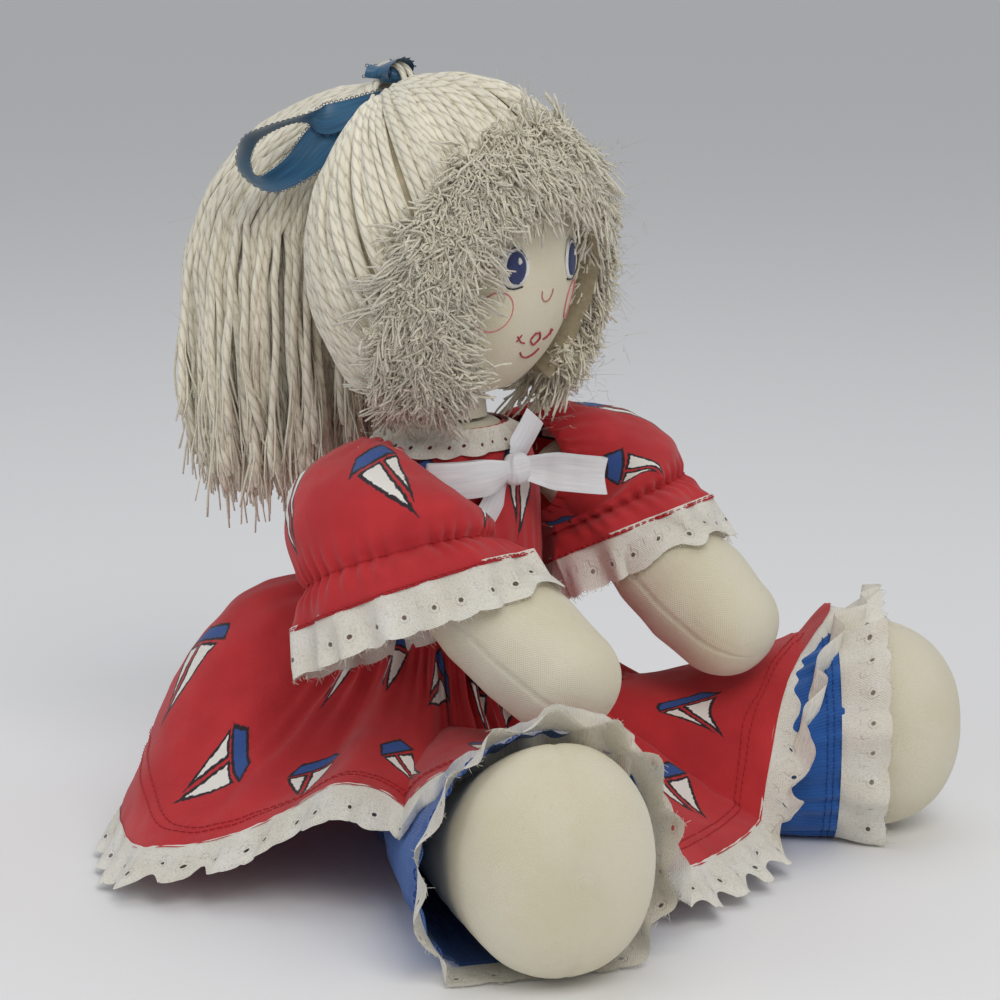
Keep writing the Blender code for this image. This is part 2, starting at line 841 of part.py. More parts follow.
def leg_ring(m, share, inset, count=limb_sides, flare=0.0, ruffle=0.0, waves=0):
    """A ring of the leg at a share of its length, resting just above the ground."""
    hip, along, side = leg_frame(m)
    wide, tall = table_at(leg_shares, share)
    half_width = leg_half_width * wide - inset + flare
    half_height = leg_half_height * tall - inset + flare
    height = pantaloon_cloth + rest_gap + leg_half_height * tall + flare
    centre = hip + along * leg_length * share + Vector((0, 0, height))
    points = []
    for a in turns(count):
        wave = ruffle * (1 + math.sin(waves * a))
        points.append(centre + side * curved_power(math.cos(a), 2.1) * (half_width + wave)
                      + Vector((0, 0, curved_power(math.sin(a), 2.1) * (half_height + wave))))
    return points


def dome_rings(m, inset, gap=0.0, count=limb_sides):
    """The round end of the foot, beyond its seam, and its tip."""
    hip, along, side = leg_frame(m)
    wide, tall = leg_shares[-1][1:]
    seam = leg_shares[-1][0] * leg_length
    height = pantaloon_cloth + rest_gap + leg_half_height * tall
    centre = hip + along * seam + Vector((0, 0, height))
    rings = []
    for angle in [math.radians(a) for a in (0, 18, 36, 52, 66, 78)]:
        reach = math.cos(angle) ** 0.85
        place = centre + along * ((foot_dome - inset) * math.sin(angle) + gap)
        points = []
        for a in turns(count):
            points.append(place
                          + side * curved_power(math.cos(a), 2.1) * (leg_half_width * wide - inset) * reach
                          + Vector((0, 0, curved_power(math.sin(a), 2.1)
                                    * (leg_half_height * tall - inset) * reach)))
        rings.append(points)
    return rings, centre + along * (foot_dome - inset + gap)


def cut_leg(obj, name, outset):
    pivot = Vector((0, hip_y, hip_z))
    form = torso_form(name, outset)
    cut_over_travel(obj, form, pivot, -hip_travel)
    bpy.data.objects.remove(form, do_unlink=True)


def make_leg(side_name, m):
    tube_shares = [row[0] for row in leg_shares]
    outer = [leg_ring(m, share, 0) for share in tube_shares]
    inner = [leg_ring(m, share, skin_cloth) for share in tube_shares]
    skin = tube_from_rings("leg_skin_" + side_name, outer, inner, muslin())
    shell, shell_tip = dome_rings(m, 0, rest_gap)
    hollow, hollow_tip = dome_rings(m, skin_cloth, rest_gap)
    cup_from_rings("foot_" + side_name, shell, hollow, muslin(), shell_tip, hollow_tip)
    inset = skin_cloth + rest_gap
    dome, dome_tip = dome_rings(m, inset)
    core = [leg_ring(m, share, inset) for share in tube_shares[:-1]] + dome
    stuffing = solid_from_rings("leg_stuffing_" + side_name, core, fibrefill(), None, dome_tip)
    for piece in (skin, stuffing):
        cut_leg(piece, "body_form", 4 * rest_gap)


def cut_leg_holes(seat, m):
    """Open the pantaloon seat where the leg passes through it over its whole travel."""
    rings = [leg_ring(m, row[0], -loose_gap - 2 * rest_gap) for row in leg_shares[:5]]
    form = hide_cutter(solid_from_rings("leg_form", rings, muslin()))
    cut_over_travel(seat, form, Vector((0, hip_y, hip_z)), hip_travel)
    bpy.data.objects.remove(form, do_unlink=True)


def seat_outset():
    return rest_gap + pantaloon_cloth


def grounded(points, low):
    """Keep a ring's points at or above a height."""
    return [Vector((p.x, p.y, max(p.z, low))) for p in points]


def make_pantaloon_leg(side_name, m):
    shares = [-0.10, 0.00, 0.10, 0.25, 0.40, 0.55, 0.67]
    flares = [cuff_flare * share for share in (0, 0, 0, 0.25, 0.25, 0.5, 1)]
    outer = []
    inner = []
    for share, flare in zip(shares, flares):
        outer.append(grounded(leg_ring(m, share, -seat_outset(), flare=flare), 0))
        inner.append(grounded(leg_ring(m, share, -rest_gap, flare=flare), pantaloon_cloth))
    piece = tube_from_rings("pantaloon_leg_" + side_name, outer, inner, blue_knit())
    cut_leg(piece, "seat_form", seat_outset() + loose_gap)
    count = 4 * cuff_ruffles
    lace_shares = [0.675, 0.785]
    ruffles = [cuff_ruffle * 0.1, cuff_ruffle]
    outer = []
    inner = []
    for share, ruffle in zip(lace_shares, ruffles):
        low = leg_ring(m, share, -seat_outset(), count, cuff_flare, ruffle, cuff_ruffles)
        high = leg_ring(m, share, -seat_outset() + lace_cloth, count, cuff_flare, ruffle, cuff_ruffles)
        outer.append(grounded(low, rest_gap))
        inner.append(grounded(high, rest_gap + lace_cloth))
    tube_from_rings("pantaloon_lace_" + side_name, outer, inner, eyelet_lace())


def make_pantaloon_seat():
    top = torso_share(waist_height - waist_overlap)
    shares = [top] + [share for share in torso_levels() if share < top - 2 * level_share][::-1]
    outer = [torso_ring(share, seat_outset()) for share in shares]
    inner = [torso_ring(share, rest_gap) for share in shares]
    band = elastic_thickness + 2 * rest_gap
    outer[0] = torso_ring(top, seat_outset() + band)
    inner[0] = torso_ring(top, rest_gap + band)
    lower = (shares[0] + shares[1]) / 2
    outer.insert(1, torso_ring(lower, seat_outset() + band))
    inner.insert(1, torso_ring(lower, rest_gap + band))
    outer.append([p + Vector((0, 0, -seat_lift)) for p in torso_ring(0, rest_gap)])
    inner[-1] = [p + Vector((0, 0, -rest_gap)) for p in inner[-1]]
    seat = cup_from_rings("pantaloon_seat", outer, inner, blue_knit())
    for m in (-1, 1):
        cut_leg_holes(seat, m)


def make_waist_elastic():
    top = torso_share(waist_height - waist_overlap)
    reach = elastic_width / (torso_height - seat_lift)
    high = top - reach * 0.5
    low = high - reach
    rings = []
    outer = [torso_ring(s, 2 * rest_gap + elastic_thickness) for s in (high, low)]
    inner = [torso_ring(s, 2 * rest_gap) for s in (high, low)]
    for i in range(torso_sides):
        rings.append([outer[0][i], inner[0][i], inner[1][i], outer[1][i]])
    closed_band("waist_elastic", rings, white_elastic())


# Dress

def make_bodice():
    low = torso_share(waist_height)
    high = torso_share(collar_height)
    shares = shares_between(low, high)
    outer = [torso_ring(share, dress_outset()) for share in shares]
    inner = [torso_ring(share, loose_gap) for share in shares]
    bodice = tube_from_rings("dress_bodice", outer, inner, red_cotton())
    for m in (-1, 1):
        hole = stub("armhole", m, armhole_radius, torso_half_width * 0.6, torso_half_width + overrun)
        cut(bodice, hole)
        bpy.data.objects.remove(hole, do_unlink=True)


def make_back_closing():
    """The placket down the middle of the back, with its press studs."""
    low = torso_share(waist_height) + placket_low_share
    high = torso_share(collar_height) - placket_high_share
    count = 9
    back = math.pi / 2
    reach = placket_width / 2 / torso_half_width
    verts = []
    faces = []
    angles = [back - reach, back - reach / 2, back, back + reach / 2, back + reach]
    outsets = (dress_outset() + rest_gap, dress_outset() + rest_gap + placket_cloth)
    for k in range(count):
        share = low + (high - low) * k / (count - 1)
        verts += [torso_point(share, a, outsets[1]) for a in angles]
        verts += [torso_point(share, a, outsets[0]) for a in reversed(angles)]
    around = 2 * len(angles)
    for k in range(count - 1):
        faces += band_faces(k * around, (k + 1) * around, around)
    faces.append(tuple(range(around)))
    faces.append(tuple(range((count - 1) * around, count * around)))
    add_object("back_placket", verts, faces, red_cotton())
    for k, share in enumerate((0.16, 0.5, 0.84)):
        place = low + (high - low) * share
        centre = torso_point(place, back, outsets[1])
        near = stud_radius / torso_height
        lean = torso_point(place + near, back, outsets[1]) - torso_point(place - near, back, outsets[1])
        up = lean.normalized() * stud_radius
        side = Vector((stud_radius, 0, 0))
        out = up.cross(side).normalized()
        rings = [ring(centre + out * (stud_thickness * part + 1.5 * rest_gap),
                      side * wide, up * wide, 12)
                 for part, wide in ((0, 1), (0.5, 1), (0.9, 0.8))]
        solid_from_rings("press_stud_%d" % (k + 1), rings, nickel())


neck_lace_stand = 0.0032
neck_lace_ruffle = 0.0016
# Share of the torso's height, of the stand from the bodice and of the ruffle's height
neck_lace_shares = ((0.942, 0.94, 1.0), (0.965, 1.0, 0.62), (0.99, 0.62, 0.25))


def make_neck_lace():
    """The gathered eyelet band round the neck, lying over the top of the bodice."""
    count = 4 * neck_ruffles
    outer = []
    inner = []
    for share, stand_share, ruffle_share in neck_lace_shares:
        outset = dress_outset() + rest_gap + neck_lace_stand * stand_share + lace_cloth
        ruffle = neck_lace_ruffle * ruffle_share
        points = []
        backs = []
        for a in turns(count):
            wave = ruffle * math.sin(neck_ruffles * a)
            points.append(torso_point(share, a, outset + wave))
            backs.append(torso_point(share, a, outset + wave - lace_cloth))
        outer.append(points)
        inner.append(backs)
    tube_from_rings("neck_lace", outer, inner, eyelet_lace())


def chest_point(x, height, outset):
    """A point on the front of the bodice at a place from the middle and a height."""
    share = torso_share(height)
    low, high = math.pi, math.pi * 2
    for _ in range(40):
        middle = (low + high) / 2
        if torso_point(share, middle, dress_outset() + outset).x < x:
            low = middle
        else:
            high = middle
    return torso_point(share, middle, dress_outset() + outset)


bow_height = 0.166
bow_stand = 0.0032
bow_loop_length = 0.033
bow_loop_drop_share = (0.03, 0.20)
bow_near_share = 0.68
bow_loop_ahead = 0.030
bow_loop_open = 0.0028
bow_tail_long = 0.026
bow_tail_short = 0.012


def make_chest_bow():
    knot = chest_point(0, bow_height, bow_stand + bow_knot_size * 0.55)
    block("bow_knot", knot, bow_knot_size, bow_knot_size * 0.6, bow_knot_size, white_satin())
    start = bow_knot_size + rest_gap * 2
    count = 8
    loops = (("bow_loop_right", -1, bow_loop_length, bow_loop_drop_share[0], 0),
             ("bow_loop_left", 1, bow_loop_length * bow_near_share, bow_loop_drop_share[1], bow_loop_ahead))
    for name, m, reach, drop_share, ahead in loops:
        drop = reach * drop_share
        path = []
        for k in range(count + 1):
            part = k / count
            place = chest_point(m * (start + reach * part), bow_height - drop * part, bow_stand)
            path.append(place + Vector((0, -ahead * part ** 1.5, 0)))
        along = [(path[min(k + 1, count)] - path[max(k - 1, 0)]).normalized() for k in range(count + 1)]
        rise = [Vector((m * t.y, -m * t.x, 0)) * bow_loop_open for t in along]
        back = [p + rise[k] * (0.5 + 0.8 * min(2 * k / count, 1)) for k, p in enumerate(path[:-1])]
        bend = []
        for angle in (-45, 0, 45):
            a = math.radians(angle)
            bend.append(path[-1] + rise[-1] * 0.6 * (1 + math.sin(a))
                        + along[-1] * bow_loop_open * 0.6 * math.cos(a))
        points = path + bend + back[::-1]
        last = len(points) - 1
        wide = [bow_ribbon_width * (0.62 + 0.38 * min(1, 4 * i / last, 4 * (last - i) / last))
                for i in range(len(points))]
        ribbon(name, points, [Vector((0, 0, 1))] * len(points), wide, white_satin())
    tails = (("bow_tail_right", -1, bow_tail_long, -bow_tail_long),
             ("bow_tail_left", 1, bow_tail_short, bow_tail_short * 1.16))
    for name, m, reach, rise in tails:
        path = []
        for k in range(count + 1):
            part = k / count
            x = m * (start * 0.8 + reach * part)
            z = bow_height + math.copysign(start, rise) + rise * part
            place = chest_point(x, min(z, bow_height), bow_stand * 0.8)
            place.z = z
            place.y -= bow_stand * part if rise > 0 else 0
            path.append(place)
        across = Vector((-(path[-1] - path[0]).z, 0, (path[-1] - path[0]).x))
        tail_width = [bow_ribbon_width * 0.85 * min(0.45 + 2.2 * k / count, 1) for k in range(count + 1)]
        ribbon(name, path, [across] * len(path), tail_width, white_satin())


# Places on the skirt's hem, round from the right back corner over the right leg: shares of the
# skirt's reach to the side, to the back and up, and how full the skirt stands there
hem_shares = (
    (-1.48, 0.52, 0.20, 0.85),
    (-1.30, 0.05, 0.22, 0.50),
    (-1.14, -0.40, 0.30, 0.45),
    (-1.05, -0.76, 0.20, 0.40),
    (-0.99, -1.06, 0.20, 0.40),
    (-0.88, -1.34, 0.20, 0.40),
    (-0.56, -1.46, 0.20, 0.40),
    (-0.30, -1.48, 0.20, 0.45),
    (0.20, -1.42, 0.18, 0.45),
    (0.52, -1.34, 0.20, 0.40),
    (0.70, -1.30, 0.20, 0.40),
    (0.88, -1.28, 0.20, 0.40),
    (1.08, -1.30, 0.20, 0.40),
    (1.36, -1.12, 0.20, 0.40),
    (1.52, -0.90, 0.20, 0.45),
    (1.60, -0.55, 0.21, 0.50),
    (1.64, 0.00, 0.20, 0.50),
    (1.52, 0.58, 0.20, 0.90),
    (1.08, 1.05, 0.20, 2.6),
    (0.40, 1.26, 0.20, 2.6),
    (-0.40, 1.24, 0.20, 2.8),
    (-1.08, 1.00, 0.20, 3.0),
)


def hem_at(part):
    """A smooth place on the hem, for a part of the way round."""
    count = len(hem_shares)
    place = part * count
    k = int(math.floor(place))
    t = place - k
    rows = [hem_shares[(k + step) % count] for step in (-1, 0, 1, 2)]
    values = []
    for before, start, end, after in zip(*rows):
        values.append(start + 0.5 * t * (end - before + t * (2 * before - 5 * start + 4 * end - after
                                                             + t * (3 * (start - end) + after - before))))
    return values


def leg_cover(x, y, clearance):
    """Height of cloth laid over the legs at a place, tented at the legs' sides."""
    best = 0.0
    lean = math.radians(62)
    for m in (-1, 1):
        hip, along, side = leg_frame(m)
        flat = Vector((x, y, 0)) - hip
        share = min(max(flat.dot(along) / leg_length, -0.05), 1.0)
        wide, tall = table_at(leg_shares, min(share, leg_shares[-1][0]))
        cuff = cuff_flare * share + 2 * cuff_ruffle * min(max((share - 0.58) / 0.07, 0), 1)
        half_width = leg_half_width * wide + seat_outset() + clearance + cuff
        half_height = leg_half_height * tall + seat_outset() + clearance + cuff
        middle = pantaloon_cloth + rest_gap + leg_half_height * tall
        off = abs(flat.dot(side))
        past = max(flat.dot(along) - leg_length * share, -0.05 * leg_length - flat.dot(along), 0)
        off = math.hypot(off, past)
        edge = math.sin(lean)
        if off < half_width * edge:
            height = middle + half_height * math.sqrt(1 - (off / half_width) ** 2)
        else:
            height = middle + half_height * math.cos(lean) - (off - half_width * edge) * math.tan(lean)
        best = max(best, height)
    return best


def skirt_point(part, down, lift=0.0):
    """A point of the skirt: part of the way round, and down from the waist to the hem."""
    side, back, up, fullness = hem_at(part)
    hem = Vector((side, back, up)) * skirt_length
    angle = math.atan2(hem.y, hem.x)
    waist = torso_share(waist_height - loose_gap - dress_cloth)
    start = torso_point(waist, angle, dress_outset() + skirt_stand)
    place = start + (hem - start) * down
    low = min(hem.z, skirt_low)
    place.z = low + (start.z - low) * (1 - down ** fullness)
    swell = math.sin(math.pi * min(down * 1.1, 1)) ** 0.7
    fold = math.sin(2 * math.pi * part * skirt_folds) * fold_height * swell
    out = Vector((hem.x, hem.y, 0)).normalized()
    place += out * fold + Vector((0, 0, fold * 0.6))
    cover = leg_cover(place.x, place.y, drape_gap + dress_cloth + lift)
    place.z = max(place.z, cover * min(down * 4, 1))
    return place


def skirt_grid(columns, downs, drop):
    grid = []
    for down in downs:
        row = [skirt_point(i / columns, down) for i in range(columns)]
        grid.append([Vector((p.x, p.y, max(p.z - drop, hem_lift + (dress_cloth if drop == 0 else 0))))
                     for p in row])
    return grid


def make_skirt():
    downs = [0, 0.1, 0.28, 0.48, 0.72, 1.0]
    outer = skirt_grid(skirt_columns, downs, 0)
    inner = []
    for row, ring_points in enumerate(outer):
        line = []
        for i, p in enumerate(ring_points):
            inward = Vector((p.x, p.y, 0)).normalized() * -dress_cloth * 0.7
            line.append(Vector((p.x, p.y, p.z - dress_cloth)) + inward)
        inner.append(line)
    tube_from_rings("skirt", outer, inner, red_cotton())


def make_hem_lace():
    """The eyelet ruffle below the hem; it hangs, and where it meets the ground it spreads."""
    columns = 4 * hem_ruffles
    edges, nears = skirt_grid(skirt_columns, [1.0, 0.97], 0)
    outer = []
    for drop in (0, 1):
        line = []
        for i in range(columns):
            k = i * skirt_columns // columns
            t = i * skirt_columns / columns - k
            following = (k + 1) % skirt_columns
            edge = edges[k].lerp(edges[following], t)
            near = nears[k].lerp(nears[following], t)
            lead = (edge - near).normalized()
            out = Vector((edge.x, edge.y, 0)).normalized()
            along = (lead + Vector((0, 0, -0.9)) + out * 0.35).normalized()
            wave = math.sin(2 * math.pi * i / 4) * hem_lace_ruffle * drop
            place = edge + along * (lace_drop * drop + rest_gap) + out * 2 * rest_gap
            cover = leg_cover(place.x, place.y, 2 * drape_gap)
            place.z = max(place.z, cover * drop, hem_lift + lace_cloth)
            place += out * wave
            line.append(place)
        outer.append(line)
    inner = [[], []]
    for i in range(columns):
        around = outer[1][(i + 1) % columns] - outer[1][i - 1]
        inward = around.cross(outer[0][i] - outer[1][i]).normalized() * lace_cloth
        for k in range(2):
            inner[k].append(outer[k][i] + inward)
    tube_from_rings("skirt_hem_lace", outer, inner, eyelet_lace())


def hang_on_joint(name, pivot, pieces, carrier=None):
    """Set pieces on an empty that stands on the joint they move with."""
    joint = bpy.data.objects.new(name, None)
    bpy.context.scene.collection.objects.link(joint)
    joint.parent = carrier
    base = Vector((0, 0, 0))
    above = carrier
    while above:
        base += above.location
        above = above.parent
    joint.location = pivot - base
    for piece in pieces:
        obj = bpy.data.objects[piece]
        obj.data.transform(Matrix.Translation(-pivot))
        obj.parent = joint
    return joint


def set_joints():
    neck = hang_on_joint("neck_turn", Vector((0, 0, torso_height)), ["neck"])
    head_pieces = ["head_skin", "head_stuffing", "hair_cap", "hair_fringe"]
    head = hang_on_joint("neck_nod", Vector((0, 0, nod_height)), head_pieces, neck)
    tail_pieces = ["ponytail", "ponytail_tie", "hair_ribbon_knot", "hair_ribbon_loop_near",
                   "hair_ribbon_loop_far"]
    hang_on_joint("ponytail_swing", tie_point(), tail_pieces, head)
    for side_name, m in (("right", -1), ("left", 1)):
        shoulder = side_vector(m, shoulder_x + arm_out, shoulder_y, shoulder_z)
        arm_pieces = [kind + side_name for kind in ("arm_skin_", "arm_stuffing_", "sleeve_",
                                                    "sleeve_lace_", "sleeve_elastic_")]
        hang_on_joint("shoulder_" + side_name, shoulder, arm_pieces)
        leg_pieces = [kind + side_name for kind in ("leg_skin_", "foot_", "leg_stuffing_",
                                                    "pantaloon_leg_", "pantaloon_lace_")]
        hang_on_joint("hip_" + side_name, side_vector(m, hip_x, hip_y, hip_z), leg_pieces)


def main():
    clear_scene()
    make_torso()
    make_head()
    make_neck()
    make_hair_cap()
    make_fringe()
    make_ponytail()
    make_tie()
    make_hair_ribbon()
    make_bodice()
    make_back_closing()
    make_neck_lace()
    make_chest_bow()
    make_waist_elastic()
    make_pantaloon_seat()
    for side_name, m in (("right", -1), ("left", 1)):
        make_arm(side_name, m)
        make_sleeve(side_name, m)
        make_leg(side_name, m)
        make_pantaloon_leg(side_name, m)
    make_skirt()
    make_hem_lace()
    set_joints()


main()
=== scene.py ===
"""The detailed look of a seated rag doll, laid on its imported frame."""
import math

import bpy
import numpy as np
from mathutils import Matrix, Vector, noise


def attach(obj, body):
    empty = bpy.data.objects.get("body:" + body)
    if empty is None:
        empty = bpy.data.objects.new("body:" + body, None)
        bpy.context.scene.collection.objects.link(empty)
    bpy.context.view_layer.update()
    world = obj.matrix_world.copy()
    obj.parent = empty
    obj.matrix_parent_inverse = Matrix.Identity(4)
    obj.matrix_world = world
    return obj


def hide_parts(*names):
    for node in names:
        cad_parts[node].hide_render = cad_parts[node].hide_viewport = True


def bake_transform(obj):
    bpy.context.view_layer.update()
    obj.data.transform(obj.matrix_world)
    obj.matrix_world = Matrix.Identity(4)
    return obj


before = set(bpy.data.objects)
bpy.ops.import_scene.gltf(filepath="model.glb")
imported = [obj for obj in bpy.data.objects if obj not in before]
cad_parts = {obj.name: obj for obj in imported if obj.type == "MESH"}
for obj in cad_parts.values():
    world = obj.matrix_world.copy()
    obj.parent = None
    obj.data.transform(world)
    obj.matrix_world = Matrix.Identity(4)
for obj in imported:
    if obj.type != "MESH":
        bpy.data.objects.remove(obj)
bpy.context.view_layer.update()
rng = np.random.default_rng(11)

UP = np.array([0, 0, 1.0])
LEVEL = np.array([1, 1, 0])
ALL_ROUND = 2 * math.pi


# Lines and grids of points

def unit(v):
    v = np.asarray(v, float)
    return v / (np.linalg.norm(v, axis=-1, keepdims=True) + 1e-12)


def full_turn(count):
    return np.arange(count) * ALL_ROUND / count


def run_along(line, closed=False):
    """How far along a line each point is; closed adds the way back to the start."""
    steps = np.roll(line, -1, axis=0) - line if closed else np.diff(line, axis=0)
    return np.append(0, np.cumsum(np.linalg.norm(steps, axis=1)))


def sample(t, marks, values):
    """Rows of values, between the marks where they are known."""
    return np.stack([np.interp(t, marks, column) for column in np.asarray(values).T], -1)


def curve(a, b, c, d, t):
    """A smooth way from b to c, with a before and d after."""
    return b + 0.5 * t * (c - a + t * (2 * a - 5 * b + 4 * c - d + t * (3 * (b - c) + d - a)))


def down_run(grid):
    """How far down a cloth each row is, along its mean column."""
    return np.append(0, np.cumsum(np.linalg.norm(np.diff(grid, axis=0), axis=2).mean(axis=1)))


def flat_places(across, down):
    return np.stack(np.broadcast_arrays(across[None], down[:, None]), 2)


def cloth_uv(grid, row):
    """Flat places on the cloth in metres: round along one row, down along the mean column."""
    return flat_places(run_along(grid[row], True), down_run(grid))


def smooth_noise(points, scale, seed=0.0):
    """Smooth noise, about -1 to 1, at an array of points."""
    flat = np.asarray(points, float).reshape(-1, 3) * scale + seed
    values = [noise.noise(Vector(p)) for p in flat]
    return np.array(values).reshape(np.asarray(points).shape[:-1])


def crumple(grid, *layers):
    """Sum of noise layers, each a scale, a depth, a seed and a stretch upward."""
    return sum(smooth_noise(grid * (1, 1, stretch), scale, seed) * depth
               for scale, depth, seed, stretch in layers)


def points_of(x, y, z):
    return np.stack(np.broadcast_arrays(x, y, z), -1)


def power(value, p):
    return np.sign(value) * np.abs(value) ** (2 / p)


def oval_ring(centre, side, up, wide, tall, angle, p=2):
    """A ring round a centre; p above 2 squares it off."""
    return (centre + side * (power(np.cos(angle), p) * wide)[:, None]
            + up * (power(np.sin(angle), p) * tall)[:, None])


def keep_above(points, height):
    points[..., 2] = np.maximum(points[..., 2], height)


def joined_up(line):
    """A line that ends where it starts."""
    return np.vstack([line, line[:1]])


def ring_noise(angle, scale, seed=0.0):
    return smooth_noise(np.stack([np.cos(angle), np.sin(angle), 0 * angle], -1), scale, seed)


# Meshes

def mesh_object(name, verts, faces, finish, uv=None, tint=None):
    """One mesh object; uv is one pair for each face corner, tint one value for each point."""
    verts = np.asarray(verts, np.float32).reshape(-1, 3)
    sizes = np.array([len(f) for f in faces], np.int32)
    corners = np.concatenate([np.asarray(f, np.int32) for f in faces])
    mesh = bpy.data.meshes.new(name)
    mesh.vertices.add(len(verts))
    mesh.vertices.foreach_set("co", verts.ravel())
    mesh.loops.add(len(corners))
    mesh.loops.foreach_set("vertex_index", corners)
    mesh.polygons.add(len(sizes))
    mesh.polygons.foreach_set("loop_start", (np.cumsum(sizes) - sizes).astype(np.int32))
    if uv is not None:
        mesh.uv_layers.new(name="cloth").data.foreach_set("uv", np.asarray(uv, np.float32).ravel())
    if tint is not None:
        mesh.attributes.new("tint", "FLOAT", "POINT").data.foreach_set("value", np.asarray(tint, np.float32))
    mesh.update(calc_edges=True)
    mesh.validate(clean_customdata=False)
    mesh.polygons.foreach_set("use_smooth", [True] * len(mesh.polygons))
    mesh.materials.append(finish)
    obj = bpy.data.objects.new(name, mesh)
    bpy.context.scene.collection.objects.link(obj)
    return obj


def grid_object(name, grid, finish, closed=True, uv=None, start=None, end=None):
    """A cloth surface from rows of points; closed joins each row's ends; start and end are tips."""
    grid = np.asarray(grid, float)
    rows, columns = grid.shape[:2]
    if uv is None:
        steps = np.linalg.norm(np.roll(grid, -1, axis=1) - grid, axis=2).mean(axis=0)
        uv = flat_places(np.append(0, np.cumsum(steps)), down_run(grid))
    j, i = np.mgrid[:rows - 1, :columns if closed else columns - 1]
    first, after = j * columns + i, j * columns + (i + 1) % columns
    quads = np.stack([first, after, after + columns, first + columns], 2)
    corner = np.stack([uv[j, i], uv[j, i + 1], uv[j + 1, i + 1], uv[j + 1, i]], 2)
    faces, corners = list(quads.reshape(-1, 4)), [corner.reshape(-1, 2)]
    verts = grid.reshape(-1, 3)
    for tip, row, step in ((start, 0, -1), (end, rows - 1, 1)):
        if tip is None:
            continue
        verts = np.vstack([verts, np.asarray(tip, float)])
        for k in range(columns):
            side = [row * columns + k, row * columns + (k + 1) % columns][::step]
            faces.append(np.array([*side, len(verts) - 1]))
            pair = [uv[row, k], uv[row, k + 1]][::step]
            corners.append(np.array(pair + [(pair[0] + pair[1]) / 2 + (0, 0.002)]))
    return mesh_object(name, verts, faces, finish, np.vstack(corners))


def strands_object(name, paths, radii, finish, sides=6):
    """Many round strands in one mesh: paths (strands, points, 3), radii (strands, points)."""
    paths = np.asarray(paths, float)
    count, points = paths.shape[:2]
    radii = np.broadcast_to(np.asarray(radii, float), (count, points))
    along = unit(np.gradient(paths, axis=1))
    reference = np.cross(along[:, :1], along[:, -1:]) + np.array([0.013, 0.007, 0.011])
    side = unit(np.cross(along, np.broadcast_to(reference, along.shape)))
    up = np.cross(along, side)
    angle = full_turn(sides)[None, None, :, None]
    ring = side[:, :, None] * np.cos(angle) + up[:, :, None] * np.sin(angle)
    verts = paths[:, :, None] + ring * radii[..., None, None]
    strand, j, i = np.mgrid[:count, :points - 1, :sides]
    row, after = (strand * points + j) * sides, (i + 1) % sides
    quads = np.stack([row + i, row + sides + i, row + sides + after, row + after], 3)
    steps = np.linalg.norm(np.diff(paths, axis=1), axis=2)
    length = np.concatenate([np.zeros((count, 1)), np.cumsum(steps, axis=1)], axis=1)
    length = length + rng.random((count, 1)) * 0.02
    low, high, left = length[strand, j], length[strand, j + 1], i / sides
    right = left + 1 / sides
    corner = np.stack([left, low, left, high, right, high, right, low], 3)
    faces, corners = list(quads.reshape(-1, 4)), [corner.reshape(-1, 2)]
    for k in range(count):
        first, last = k * points * sides, ((k + 1) * points - 1) * sides
        faces += [np.arange(first, first + sides), np.arange(last + sides - 1, last - 1, -1)]
        corners += [np.tile([0.5, length[k, end]], (sides, 1)) for end in (0, -1)]
    tint = np.repeat(rng.random(count), points * sides)
    return mesh_object(name, verts, faces, finish, np.vstack(corners), tint)


def seat(obj, body, finish_slot, *nodes):
    """The piece rides on a body and stands for CAD nodes; finish_slot is not used."""
    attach(obj, body)
    if nodes:
        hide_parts(*nodes)


# Materials

class Term:
    """One value in a material's nodes, for plain sums."""

    def __init__(self, finish, socket):
        self.finish, self.socket = finish, socket

    def __add__(self, other):
        return self.finish.math("ADD", self, other)

    def __sub__(self, other):
        return self.finish.math("SUBTRACT", self, other)

    def __rsub__(self, other):
        return self.finish.math("SUBTRACT", other, self)

    def __mul__(self, other):
        return self.finish.math("MULTIPLY", self, other)

    def __truediv__(self, other):
        return self.finish.math("DIVIDE", self, other)


